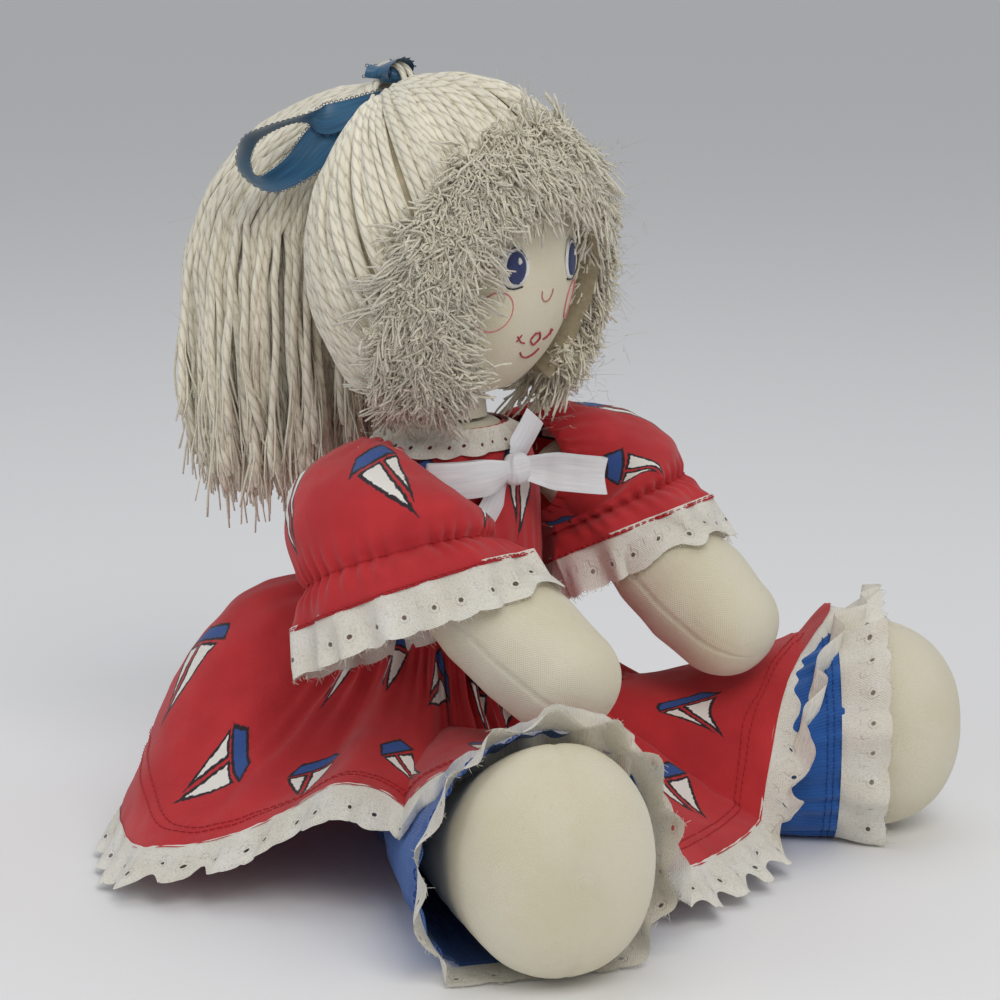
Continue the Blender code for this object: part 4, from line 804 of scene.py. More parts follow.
def ponytail():
    """The single high ponytail of cut yarn, swelling from its tie and hanging to the shoulders."""
    count, points = 560, 22
    a = ALL_ROUND * rng.random((count, 1))
    spread = np.sqrt(rng.random((count, 1))) ** 0.8
    reach = 0.80 + 0.24 * rng.random((count, 1))
    sway = rng.normal(size=(count, 2)) * 0.0055
    t = np.linspace(0, 1, points)
    s = t ** 1.15 * reach
    back, height = table(TAIL_MIDDLE, s)
    rise = table(TAIL_RISE, s)[0]
    outward_run = TAIL_RADIUS * table(TAIL_WIDE, s)[0] * spread
    lean = outward_run * np.sin(a)
    paths = np.stack([outward_run * np.cos(a) + sway[:, :1] * t ** 2,
                      TIE[1] + 0.003 + TAIL_BACK * back + lean * (1 - 0.6 * rise) + sway[:, 1:] * t ** 2,
                      TIE[2] + height + lean * rise * 0.9], -1)
    for k in range(2):
        paths[:, :, k] += np.sin(t * 15 + 6 * rng.random((count, 1))) * 0.0013 * t ** 0.7
    ball = HEAD_SIZE + 0.0135
    clear = (paths - HEAD) / ball
    size = np.linalg.norm(clear, axis=2, keepdims=True)
    paths = np.where(size < 1, HEAD + clear / size * ball, paths)
    radius = TAIL_YARN * (0.88 + 0.24 * rng.random((count, 1))) * np.ones((1, points))
    radius[:, -2:] *= np.array([1.15, 0.8])
    seat(strands_object("ponytail_yarn", paths, radius, yarn, 6), "ponytail", "cream_yarn", "ponytail")
    ends = paths[:, -7:]
    step = unit(ends[:, -1] - ends[:, -3])
    run = 0.012 * rng.random((count, 1))
    ends = ends + step[:, None] * (np.linspace(0, 1, 7) ** 2)[None, :, None] * run[:, None]
    soft = clump(ends, 4, 0.0011, 0.0030)
    radius = thinning(0.00060, 1.2, 0.7, len(soft), 7)
    seat(strands_object("ponytail_soft_ends", soft, radius, fluff, 4), "ponytail", "cream_yarn")
    lean = math.radians(20)
    up, ahead = np.array([0, math.sin(lean), math.cos(lean)]), np.array([0, math.cos(lean), -math.sin(lean)])
    centre = TIE + (0, TAIL_BACK * 0.05, -0.178 * 0.03)
    radius, pitch = 0.0128, 0.0021
    rows = [joined_up(oval_ring(centre + ahead * pitch * turn, np.array([1.0, 0, 0]), up, radius, radius,
                                full_turn(48))) for turn in (-1, 0, 1)]
    seat(strands_object("ponytail_tie_yarn", np.array(rows), 0.0015, yarn, 7), "ponytail", "cream_yarn",
         "ponytail_tie")
    return paths


def fuzz(name, sources, count, body):
    """Fine stray fibres that stand off the yarn."""
    pool = np.concatenate([p[:, p.shape[1] // 3:].reshape(-1, 3) for p in sources])
    roots = pool[rng.integers(0, len(pool), count)]
    heading = unit(rng.normal(size=(count, 3)))
    lengths = 0.004 * (0.5 + rng.random(count))
    paths = tufts(roots, heading, lengths, np.full(count, 0.1), 4, 0.8)
    radius = 0.00011 * np.linspace(1, 0.5, 4)[None] * np.ones((count, 1))
    seat(strands_object(name, paths, radius, yarn, 3), body, "cream_yarn")


# Cloth, stitches and lace

STITCH, STITCH_GAP, THREAD = 0.0024, 0.0009, 0.00024
# How far lace hangs and its scallops, and how much more lace than edge there is
LACE_DROP, LACE_SCALLOP = 0.0172, 0.0016
DRESS_GATHER, CUFF_GATHER, NECK_GATHER = 1.35, 1.3, 1.2
DRESS = 0.0018
CLEAR_OF_DRESS = DRESS + 0.0008


def declare(grid, closed=True):
    """Work out the area of a piece's flat cloth; nothing is done with it."""
    after = np.roll(grid, -1, axis=1) if closed else np.concatenate([grid[:, 1:], grid[:, -1:]], 1)
    area = np.linalg.norm(np.cross((after - grid)[:-1], np.diff(grid, axis=0)), axis=2).sum()


def cloth_piece(name, grid, finish, uv, body, slot_name, nodes, rests_on, held="gathered", **shape):
    """A sheet that rides on a body and stands for CAD nodes; its flat size is worked out but not kept."""
    obj = grid_object(name, grid, finish, uv=uv, **shape)
    seat(obj, body, slot_name, *nodes)
    declare(grid, closed=shape.get("closed", True))


def outward(grid, centre):
    """Normals that point away from a centre line."""
    around = np.roll(grid, -1, axis=1) - np.roll(grid, 1, axis=1)
    n = unit(np.cross(np.gradient(grid, axis=0), around))
    return np.where(((n * (grid - centre)).sum(-1) < 0)[..., None], -n, n)


def thread_line(name, points, normals, finish, body, lift=0.0003, closed=False):
    """A row of machine stitches along a line of points on a cloth."""
    normals = unit(normals)
    if closed:
        points, normals = joined_up(points), joined_up(normals)
    run = run_along(points)
    t = np.arange(0, run[-1] - STITCH, STITCH + STITCH_GAP)[:, None] + np.linspace(0, 1, 4) * STITCH
    raised = np.array([-0.5, 1.0, 1.0, -0.5]) * THREAD + lift
    at = sample(t, run, points) + sample(t, run, normals) * raised[:, None]
    keep_above(at, THREAD)
    line = strands_object(name, at, THREAD, finish, 5)
    if body:
        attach(line, body)
    return line


def hem_threads(name, grid, levels, normals, finish, body, closed=True):
    """Rows of stitches round a cloth, at its row numbers."""
    lines = []
    for k, level in enumerate(levels):
        low, t = int(level), level % 1
        line = grid[low] * (1 - t) + grid[low + 1] * t
        lines.append(thread_line("%s_%d" % (name, k), line, normals[low], finish, body, closed=closed))
    return lines


def lace_edge(edge, gather, count):
    """For lace round an edge: parts of the way round, scallops, shares down its rows and flat places."""
    run = run_along(edge, True)
    part = run[:-1] / run[-1]
    scallop = np.abs(np.sin(math.pi * part * round(run[-1] * gather / LACE_PITCH))) ** 0.6
    shares = np.linspace(0, 1, count)
    return part, scallop, shares, flat_places(run * gather, shares * LACE_DEEP)


def lace_length(share, scallop):
    return share * (LACE_DROP + LACE_SCALLOP * scallop * (share > 0.8))


def loose_threads(name, line, heading, body, count):
    """Short loose threads at a cut edge."""
    pick = rng.integers(0, len(line), count)
    roots = line[pick] + (line[(pick + 1) % len(line)] - line[pick]) * rng.random((count, 1))
    lengths = 0.0016 * (0.3 + rng.random(count))
    heading = unit(heading + rng.normal(size=(count, 3)) * 0.5)
    paths = tufts(roots, heading, lengths, np.full(count, 0.1), 3, 0.7)
    keep_above(paths, 0.0003)
    seat(strands_object(name, paths, 0.00010, cream_thread, 3), body, "eyelet_lace")


# The body, the bodice and the skirt

def torso_pieces():
    """The muslin body, the bodice over it, and the pantaloons' seat."""
    top = TORSO_LOW + TORSO_TALL
    angle = full_turn(120)
    heights = np.append(TORSO_LOW + 0.0001, np.linspace(0.004, top - 0.0005, 60))
    grid = torso_at(heights[:, None], angle, 0.0)
    body = grid_object("torso_muslin", grid, muslin, start=[0, 0, heights[0]], end=[0, 0, top])
    seat(body, "torso", "muslin", "torso_skin", "torso_stuffing")
    angle = full_turn(260)
    waist, neck = 0.1165, 0.1885
    grid = torso_at(np.linspace(waist, neck, 80)[:, None], angle, DRESS + 0.0006)
    down = (neck - grid[..., 2]) / (neck - waist)
    pull = np.sin(angle * 34 + 3 * ring_noise(angle, 1.2)) * 0.0007 * np.clip(down * 1.6 - 0.6, 0, 1)
    drape = crumple(grid, (62.0, 0.0011, 0, 0.45), (140.0, 0.0004, 4.0, 1))
    grid = grid + unit(grid * LEVEL) * (pull + np.maximum(drape, -0.0006))[..., None]
    bodice = grid_object("dress_bodice_cloth", grid[::-1], red_print, uv=cloth_uv(grid[::-1], 40))
    seat(bodice, "torso", "red_cotton", "dress_bodice")
    declare(grid)
    angle = full_turn(132)
    grid = torso_at(np.linspace(0.0002, 0.109, 46)[:, None], angle, 0.0015)
    folds = np.sin(angle * 40) * 0.0006 * np.clip((grid[..., 2] - 0.075) / 0.03, 0, 1) ** 2
    grid = grid + unit(grid * LEVEL) * (folds + smooth_noise(grid, 55.0) * 0.0005)[..., None]
    cloth_piece("pantaloon_seat_cloth", grid, blue_cotton, None, "torso", "blue_knit",
                ["pantaloon_seat", "waist_elastic"], "torso_skin", start=[0, 0, 0.0001])


PLACKET_LOW, PLACKET_LONG = 0.1235, 0.042
# A press stud's face: reach from its middle and rise, in mm
STUD = ((4.5, 0.0), (4.5, 0.5), (4.2, 0.8), (3.4, 0.95), (2.5, 0.8), (2.2, 0.75), (1.9, 1.2), (1.5, 1.5),
        (0.8, 1.6))


def back_closing():
    """The placket down the back, with its stitching and three press studs."""
    back = math.pi / 2
    t = np.linspace(-1, 1, 15)
    heights = PLACKET_LOW + PLACKET_LONG * np.linspace(0, 1, 40)[:, None]
    grid = torso_at(heights, back + t * 0.165, DRESS + 0.0021 - 0.0007 * np.abs(t) ** 3)
    grid[..., 1] += smooth_noise(grid, 120.0) * 0.0004
    cloth_piece("back_placket_cloth", grid, red_print, cloth_uv(grid, 0)[:, :15], "torso", "red_cotton",
                ["back_placket"], "dress_bodice", held="laid", closed=False)
    for k, column in enumerate((1, 13)):
        thread_line("placket_stitches_%d" % k, grid[:, column], np.tile([0, 1.0, 0], (40, 1)), red_thread, "torso")
    side = np.array([1.0, 0, 0])
    angle = full_turn(32)
    for k, share in enumerate((0.16, 0.5, 0.84)):
        height = PLACKET_LOW + PLACKET_LONG * share
        at, above = (torso_at(h, np.array(back), DRESS + 0.0024) for h in (height, height + 0.004))
        up = unit(above - at)
        out = np.cross(up, side)
        rows = [oval_ring(at + out * rise * 0.001, side, up, reach * 0.001, reach * 0.001, angle)
                for reach, rise in STUD]
        stud = grid_object("press_stud_%d_face" % (k + 1), np.array(rows), nickel, end=at + out * 0.00162)
        seat(stud, "torso", "nickel", "press_stud_%d" % (k + 1))


# The hem round the doll: x, y and z in tenths of a metre, and how fully the cloth falls there
HEM = np.array(((-1.48, 0.52, 0.20, 0.85), (-1.30, 0.08, 0.32, 0.50), (-1.12, -0.31, 0.56, 0.45),
                (-1.05, -0.73, 0.40, 0.40), (-0.99, -1.06, 0.20, 0.40), (-0.88, -1.34, 0.20, 0.40),
                (-0.56, -1.46, 0.20, 0.40), (-0.30, -1.48, 0.20, 0.45), (0.20, -1.42, 0.18, 0.45),
                (0.52, -1.34, 0.20, 0.40), (0.70, -1.30, 0.20, 0.40), (0.88, -1.28, 0.20, 0.40),
                (1.08, -1.30, 0.20, 0.40), (1.36, -1.12, 0.20, 0.40), (1.52, -0.90, 0.20, 0.45),
                (1.60, -0.55, 0.21, 0.50), (1.64, 0.00, 0.20, 0.50), (1.52, 0.58, 0.20, 0.90),
                (1.08, 1.05, 0.20, 2.6), (0.40, 1.26, 0.20, 2.6), (-0.40, 1.24, 0.20, 2.8),
                (-1.08, 1.00, 0.20, 3.0)))
SKIRT_WAIST = 0.1162
HEM_SIZE = 0.100
# How high the cloth and its lace lie over the legs and over the floor, and the most that a hem's rise counts
OVER_LEG, LACE_OVER_LEG = 0.0043, 0.0060
OVER_FLOOR, LACE_OVER_FLOOR = 0.0022, 0.0020
HEM_RISE = 0.058
HEM_STITCH_ROWS = (44.0, 45.6)


def hem_at(part):
    """Smooth places on the hem for parts of the way round."""
    place = part * len(HEM)
    k = np.floor(place).astype(int)
    return curve(*(HEM[(k + step) % len(HEM)] for step in (-1, 0, 1, 2)), (place - k)[:, None])


def skirt_rows(columns, downs):
    """Rows of the laid skirt, from the waist to the hem, with its folds and gathers."""
    around = full_turn(columns)
    rows = hem_at(np.arange(columns) / columns)
    hem, fullness = rows[:, :3] * HEM_SIZE, rows[:, 3]
    start = torso_at(SKIRT_WAIST, np.arctan2(hem[:, 1], hem[:, 0]), DRESS + 0.0040)
    out = unit(hem * LEVEL)
    low = np.minimum(hem[:, 2], HEM_RISE)
    gathers = np.sin(around * 62 + 5 * ring_noise(around, 2.6)) * 0.0018
    wide_gathers = np.sin(around * 37 + 6 * ring_noise(around, 3.7, 9.0)) * 0.0022
    deep = ring_noise(around, 3.1, 21.0)
    folds = np.sin(around * 11 + 1.5 * deep) * 0.0042
    grid = []
    for down in downs:
        place = start + (hem - start) * down
        place[:, 2] = low + (start[:, 2] - low) * (1 - down ** fullness)
        fold = folds * max(math.sin(math.pi * down * 1.1), 0) ** 0.7
        fine = (gathers * math.exp(-down / 0.13) + wide_gathers * math.exp(-down / 0.26)) * min(down * 14, 1)
        wide = deep * 0.0055 * math.sin(math.pi * down) ** 0.8
        place += out * (fold + fine + wide - 0.0036 * max(1 - down * 30, 0))[:, None]
        place[:, 2] += fold * 0.6 + fine * 0.8 + wide * 0.7
        place[:, 2] = np.maximum(place[:, 2], leg_cover(place, OVER_LEG) * min(down * 4, 1))
        grid.append(place)
    grid = np.array(grid)
    wrinkle = np.maximum(crumple(grid, (34.0, 0.0022, 3.0, 1.4), (88.0, 0.0008, 7.0, 1)), -0.0012)
    grid += outward(grid, 0.0) * (wrinkle * np.clip(downs * 5, 0, 1)[:, None])[..., None]
    keep_above(grid, OVER_FLOOR)
    return grid


def side_columns(line):
    """The columns of each side of a ring; both hold the middle of the front and of the back."""
    front = int(np.argmax(line[:, 0] >= 0))
    back = front + int(np.argmax(line[front:, 0] < 0))
    return (("right", -1, np.arange(back - len(line), front + 1)), ("left", 1, np.arange(front, back + 1)))


def side_uv(uv, pick):
    """Flat places for one side's columns, running on through the ring's first column."""
    part = uv[:, pick % (uv.shape[1] - 1)].copy()
    part[..., 0] -= np.where(pick < 0, uv[:, -1:, 0] - uv[:, :1, 0], 0)
    return part


def follow_leg(obj, name, m):
    """Bake the piece's placement into its points; nothing ties it to the leg or the torso."""
    reach = np.array([0.707 * m, -0.707, 0]) * 0.045
    "leg_" + name
    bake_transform(obj)


def skirt():
    """The gathered skirt and its eyelet ruffle, each in a right and a left half."""
    columns = 968
    grid = skirt_rows(columns, np.linspace(0, 1, 52) ** 0.9)
    normals = outward(grid, 0.0)
    flat = cloth_uv(grid, 48)
    sides = side_columns(grid[-1])

    def half_cloth(piece, rows, finish, uv, slot_name, node, rests_on, name, m, pick):
        half = rows[:, pick]
        cloth = grid_object(piece + name, half, finish, closed=False, uv=side_uv(uv, pick))
        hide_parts(node)
        declare(half, closed=False)
        follow_leg(cloth, name, m)

    for name, m, pick in sides:
        half_cloth("skirt_cloth_", grid, red_print, flat, "red_cotton", "skirt", "pantaloon_leg_" + name,
                   name, m, pick)
        for line in hem_threads("skirt_hem_stitches_" + name, grid[:, pick], HEM_STITCH_ROWS, normals[:, pick],
                                red_thread, None, closed=False):
            follow_leg(line, name, m)
    edge = grid[-1]
    part, scallop, shares, uv = lace_edge(edge, DRESS_GATHER, 11)
    lead = unit(edge - grid[-4])
    out = unit(edge * LEVEL)
    heading = unit(lead - UP * 0.9 + out * 0.35)
    phase = ALL_ROUND * part * round(run_along(edge, True)[-1] / 0.021)
    wave = np.sin(phase + 1.3 * smooth_noise(edge, 24.0, 2.0))
    lifted = np.maximum(np.cos(phase + 1.0), 0) * 0.0034
    rows = []
    for share in shares:
        place = edge - lead * 0.0015 * (1 - share) + heading * lace_length(share, scallop)[:, None] + out * 0.0005
        height = np.maximum(place[:, 2], leg_cover(place, LACE_OVER_LEG) * share)
        height = np.maximum(height, LACE_OVER_FLOOR + 0.0010 * share)
        place += out * (wave * 0.0040 * share ** 0.8)[:, None]
        place[:, 2] = height + lifted * share * (height < 0.02)
        rows.append(place)
    ruffle = np.array(rows)
    ruffle += smooth_noise(ruffle, 210.0)[..., None] * 0.0005 * unit(np.array([0.3, 0.2, 1.0]))
    for side in sides:
        half_cloth("skirt_hem_eyelet_", ruffle, lace, uv, "eyelet_lace", "skirt_hem_lace", "skirt", *side)


# Sleeves and arms

# The sewn sleeve's rings from the armhole to the frill: middle, direction and half widths, in SLEEVE_SIZE
SLEEVE = np.array(((0.06, 0.00, -0.02, 1.00, 0.00, 0.00, 0.47, 0.45),
                   (0.26, -0.08, 0.02, 0.93, -0.15, -0.32, 0.575, 0.66),
                   (0.48, -0.22, -0.04, 0.72, -0.28, -0.60, 0.68, 0.91),
                   (0.62, -0.40, -0.20, 0.35, -0.38, -0.84, 0.86, 1.00),
                   (0.65, -0.52, -0.44, 0.12, -0.42, -0.90, 0.84, 0.98),
                   (0.66, -0.66, -0.68, 0.05, -0.42, -0.91, 0.86, 1.18)))
SLEEVE_SIZE = 0.050
ELASTIC, FRILL_END = 4.0, 5.0
SLEEVE_STITCH_ROWS = (76.6, 78.4, 54.6)
SLEEVE_SEAM = np.array([0.045, -0.003, 0.162])
SLEEVE_LEAD = np.array([-0.352, -0.936, 0])
ARM = ((0.0, 0.66), (0.2, 0.72), (0.42, 0.92), (0.64, 1.16), (0.84, 1.22), (1.0, 1.12))
ARM_WIDE, ARM_TALL, ARM_SAG = 0.0225, 0.0210, 0.0022


def sleeve_row(m, t, angle, wave):
    """A ring of the sleeve at a row number, as the sewn pattern has it."""
    last = len(SLEEVE) - 1
    k = min(int(t), last - 1)
    v = curve(*(SLEEVE[min(max(k + step, 0), last)] for step in (-1, 0, 1, 2)), t - k)
    normal = unit(v[3:6])
    lead = unit(SLEEVE_LEAD - normal * SLEEVE_LEAD.dot(normal))
    wide, tall = v[6:] * SLEEVE_SIZE
    centre = SLEEVE_SEAM + v[:3] * SLEEVE_SIZE
    points = oval_ring(centre, np.cross(normal, lead), lead, wide + wave, tall + wave, angle)
    points += lead * (0.0075 * min(t / 2, 1) * np.maximum(-np.sin(angle), 0) ** 1.5)[:, None]
    return points * (m, 1, 1)


def arm_frame(m):
    """An arm's shoulder, direction, length and upward direction."""
    shoulder, hand = np.array([m * 0.069, -0.003, 0.162]), np.array([m * 0.061, -0.105, 0.1005])
    along = unit(hand - shoulder)
    return shoulder, along, np.linalg.norm(hand - shoulder), np.cross(along, unit(np.cross(UP, along)))


def clear_of_body(points, m, stand):
    """Keep a sleeve's points outside the arm that it hangs over and outside the bodice."""
    shoulder, along, length, rise = arm_frame(m)
    share = np.clip((points - shoulder) @ along / length, 0, 1)[..., None]
    centre = shoulder + along * (length * share) + rise * (ARM_SAG * np.sin(math.pi * share))
    away = points - centre
    size = np.linalg.norm(away, axis=-1, keepdims=True)
    reach = ARM_WIDE * table(ARM, share)[0] + stand
    points = np.where(size < reach, centre + away / size * reach, points)
    depth = np.where(points[..., 1] > 0, TORSO_BACK, TORSO_FRONT) + CLEAR_OF_DRESS
    part = np.minimum(np.abs(points[..., 1]) / depth, 1)
    part = np.where(points[..., 2] > SLEEVE_SEAM[2], 0, part)
    limit = (TORSO_WIDE + CLEAR_OF_DRESS) * (1 - part ** TORSO_SQUARE) ** (1 / TORSO_SQUARE)
    points[..., 0] = m * np.maximum(m * points[..., 0], limit)
    return points


def swell(t, middle, width):
    """A smooth bump of 1 at the middle."""
    return math.exp(-((t - middle) / width) ** 2)


def sleeve(name, m):
    """One puffed sleeve: gathered into its armhole and by its elastic, with a stitched and laced frill."""
    arm_body = "arm_" + name
    angle = full_turn(420)
    uneven = ring_noise(angle, 1.9, 3.0 * m)
    head_gathers = np.sin(angle * 30 + 5 * uneven) * 0.0016
    waist_gathers = np.sin(angle * 36 + 6 * uneven) * 0.0013
    frill = np.sin(angle * 9 + 3 * uneven) * 0.0026
    rows = []
    for t in np.append(np.linspace(0, ELASTIC, 56)[:-1], np.linspace(ELASTIC, FRILL_END, 26)):
        slim = 0.0012 * swell(t, 2.6, 0.8) - 0.0038 * swell(t, 3.0, 1.3) - 0.0030 * max(t - 4.2, 0)
        pinch = 0.0034 * swell(t, ELASTIC, 0.20) * (t < 4.9)
        wave = (head_gathers * swell(t, 0, 0.75) * min(t * 3, 1) + waist_gathers * swell(t, ELASTIC, 0.42)
                + frill * max(t - 4.1, 0) + slim - pinch)
        rows.append(sleeve_row(m, t, angle, wave))
    grid = np.array(rows)
    centre = grid.mean(axis=1, keepdims=True)
    grid += unit(grid - centre) * crumple(grid, (46.0, 0.0021, m * 5.0, 0.6), (120.0, 0.0007, 2.0, 1))[..., None]
    grid = clear_of_body(grid, m, 0.0012)
    cloth_piece("sleeve_cloth_" + name, grid, red_print, cloth_uv(grid, 60), arm_body, "red_cotton",
                ["sleeve_" + name, "sleeve_elastic_" + name], "arm_skin_" + name)
    hem_threads("sleeve_stitches_" + name, grid, SLEEVE_STITCH_ROWS, outward(grid, centre), red_thread, arm_body)
    edge = grid[-1]
    part, scallop, shares, uv = lace_edge(edge, DRESS_GATHER, 11)
    down = unit(np.array([0.05 * m, -0.42, -0.91]))
    out = unit(edge - edge.mean(axis=0))
    wave = np.sin(ALL_ROUND * part * 16 + 1.6 * smooth_noise(edge, 30.0, 5.0)) * 0.0031
    rows = [edge + down * (lace_length(share, scallop) - 0.0022 * (1 - share))[:, None]
            + out * (wave * share ** 0.8 + 0.0025 * share - 0.0006)[:, None] for share in shares]
    ruffle = clear_of_body(np.array(rows), m, 0.0016)
    cloth_piece("sleeve_eyelet_" + name, ruffle, lace, uv, arm_body, "eyelet_lace", ["sleeve_lace_" + name],
                "sleeve_" + name)
    loose_threads("sleeve_loose_threads_" + name, ruffle[-1], down, arm_body, 260)


def stuffed(grid, angle, layers, seams, seam_width, seam_depth, puckers):
    """A limb's skin with soft lumps and puckered seams at some angles; also its outward directions."""
    away = unit(grid - grid.mean(axis=1, keepdims=True))
    seam = sum(np.exp(-(((angle - at + math.pi) % ALL_ROUND - math.pi) / seam_width) ** 2) for at in seams)
    depth, pitch = puckers
    pucker = 1 + depth * np.sin(np.arange(len(grid)) * pitch)[:, None]
    return grid + away * (crumple(grid, *layers) - seam * pucker * seam_depth)[..., None], away


def arm(name, m):
    """One stuffed arm: a plain muslin tube with a round hand, seamed along both edges."""
    shoulder, along, length, rise = arm_frame(m)
    hand, side = shoulder + along * length, unit(np.cross(UP, along))
    angle = full_turn(120)

    def ring(centre, size):
        return oval_ring(centre, side, rise, ARM_WIDE * size, ARM_TALL * size, angle)

    rows = [ring(shoulder + along * length * s + rise * ARM_SAG * math.sin(math.pi * s), table(ARM, s)[0])
            for s in np.linspace(0.02, 1.0, 60)]
    rows += [ring(hand + along * ARM_WIDE * math.sin(a), ARM[-1][1] * math.cos(a) ** 0.9)
             for a in np.radians(np.linspace(5, 84, 20))]
    grid, _ = stuffed(np.array(rows), angle, ((30.0, 0.0009, 2.0 * m, 1), (75.0, 0.0004, 0, 1)), (0, math.pi),
                      0.035, 0.0007, (0.25, 1.9))
    tube = grid_object("arm_muslin_" + name, grid, muslin, end=hand + along * ARM_WIDE, start=shoulder)
    seat(tube, "arm_" + name, "muslin", "arm_skin_" + name, "arm_stuffing_" + name)


# Legs and pantaloons

# Where the pantaloon leg ends, as a share of the leg, and how far its lace reaches
CUFF = 0.675
CUFF_LACE, CUFF_LACE_LONG = 0.668, 0.112
CUFF_STITCH_ROWS = (54.4, 56.2)


def baggy(m, share, angle):
    """How far a pantaloon leg sags outward, low on its outer side."""
    slack = math.sin(math.pi * min(max((share + 0.05) / 0.95, 0), 1)) ** 0.7
    return 0.0105 * slack * np.maximum(m * np.cos(angle), 0) ** 0.7 * np.clip(0.55 - np.sin(angle), 0, 1.3)


def leg(name, m):
    """One stuffed leg with its foot, the pantaloon leg over it and the eyelet frill at its cuff."""
    leg_body = "leg_" + name
    hip, along, side = leg_frame(m)
    angle = full_turn(144)
    rows = [leg_row(m, s, 0.0, angle) for s in np.linspace(-0.09, 0.775, 56)]
    ankle = len(rows)
    centre = hip + along * FOOT_START * LEG_LONG + UP * (LEG_LOW + LEG_TALL)
    for a in np.radians(np.linspace(1, 84, 34)):
        reach = math.cos(a) ** 0.85
        rows.append(oval_ring(centre + along * 0.038 * math.sin(a), side, UP, LEG_WIDE * reach, LEG_TALL * reach,
                              angle, LEG_SQUARE))
    grid, away = stuffed(np.array(rows), angle, ((24.0, 0.0010, 3.0 * m, 1), (70.0, 0.0004, 0, 1)),
                         (math.pi / 2, 3 * math.pi / 2), 0.028, 0.0009 if m > 0 else 0.0005, (0.35, 2.3))
    keep_above(grid, 0.0004)
    limb = grid_object("leg_muslin_" + name, grid, muslin, end=centre + along * 0.0378)
    seat(limb, leg_body, "muslin", "leg_skin_" + name, "leg_stuffing_" + name, "foot_" + name)
    if m > 0:
        seam = slice(ankle, ankle + 32), len(angle) // 4
        thread_line("foot_seam_" + name, grid[seam], away[seam], cream_thread, leg_body, lift=0.0002)
    angle = full_turn(300)
    uneven = ring_noise(angle, 2.2, 4.0 * m)
    gathers = np.sin(angle * 26 + 6 * uneven) * 0.0009
    rows = []
    for s in np.append(np.linspace(-0.09, 0.55, 46), np.linspace(0.56, CUFF, 14)):
        flare = 0.0020 * np.clip(s / 0.55, 0, 1) + 0.0022 * np.clip((s - 0.5) / 0.17, 0, 1)
        wave = gathers * swell(s, CUFF, 0.16) + flare + baggy(m, s, angle)
        rows.append(leg_row(m, s, 0.0017, angle, wave))
    grid = np.array(rows)
    middle = grid.mean(axis=1, keepdims=True)
    grid += unit(grid - middle) * crumple(grid, (52.0, 0.0013, m, 0.8), (130.0, 0.0005, 0, 1))[..., None]
    keep_above(grid, 0.0003)
    cloth_piece("pantaloon_cloth_" + name, grid, blue_cotton, cloth_uv(grid, 55), leg_body, "blue_knit",
                ["pantaloon_leg_" + name], "leg_skin_" + name)
    hem_threads("cuff_stitches_" + name, grid, CUFF_STITCH_ROWS, outward(grid, middle), blue_thread, leg_body)
    _, scallop, shares, uv = lace_edge(grid[-1], CUFF_GATHER, 12)
    rise = 0.0045 + np.sin(angle * 13 + 2.0 * uneven) * 0.0034
    rows = []
    for share in shares:
        base = leg_row(m, CUFF_LACE + CUFF_LACE_LONG * share, 0.0024, angle, 0.0042 + baggy(m, CUFF, angle))
        out = unit(base - base.mean(axis=0))
        rows.append(base + along * (LACE_SCALLOP * scallop[:, None] * (share > 0.8))
                    + out * (rise * share ** 0.7)[:, None])
    ruffle = np.array(rows)
    keep_above(ruffle, 0.0007)
    cloth_piece("cuff_eyelet_" + name, ruffle, lace, uv, leg_body, "eyelet_lace", ["pantaloon_lace_" + name],
                "pantaloon_leg_" + name)
    loose_threads("cuff_loose_threads_" + name, ruffle[-1], along, leg_body, 320)


def neck_trim():
    """The gathered eyelet band round the neck."""
    angle = full_turn(420)
    rows = []
    shares = np.linspace(0, 1, 12)
    for share, out in zip(shares, np.interp(shares, [0, 0.2, 0.5, 1], [0.0033, 0.0036, 0.0036, 0.0028])):
        wave = np.sin(angle * 13 + 0.6) * 0.0015 * (1 - share) ** 0.7 + np.sin(angle * 40) * 0.0004 * share
        height = TORSO_LOW + TORSO_TALL * (0.942 + 0.052 * share)
        height = height - 0.0008 * np.abs(np.sin(angle * 9.0)) * (share < 0.1)
        rows.append(torso_at(height, angle, DRESS + out + 0.0006 + wave))
    grid = np.array(rows)[::-1]
    uv = flat_places(run_along(grid[-1], True) * NECK_GATHER, shares * NECK_LACE_DEEP)
    cloth_piece("neck_eyelet_band", grid, neck_eyelet, uv, "torso", "eyelet_lace", ["neck_lace"], "dress_bodice")


# Ribbons

def smooth_path(points, count):
    """A smooth line through points, evenly stepped."""
    points = np.asarray(points, float)
    last = len(points) - 1
    t = np.linspace(0, last, count * 4)
    k = np.minimum(t.astype(int), last - 1)
    fine = curve(*(points[np.clip(k + step, 0, last)] for step in (-1, 0, 1, 2)), (t - k)[:, None])
    run = run_along(fine)
    return sample(np.linspace(0, run[-1], count), run, fine)


# A ribbon's finish, its slot and its body
WHITE = (white_satin, "white_satin", "torso")
BLUE = (blue_satin, "blue_satin", "ponytail")


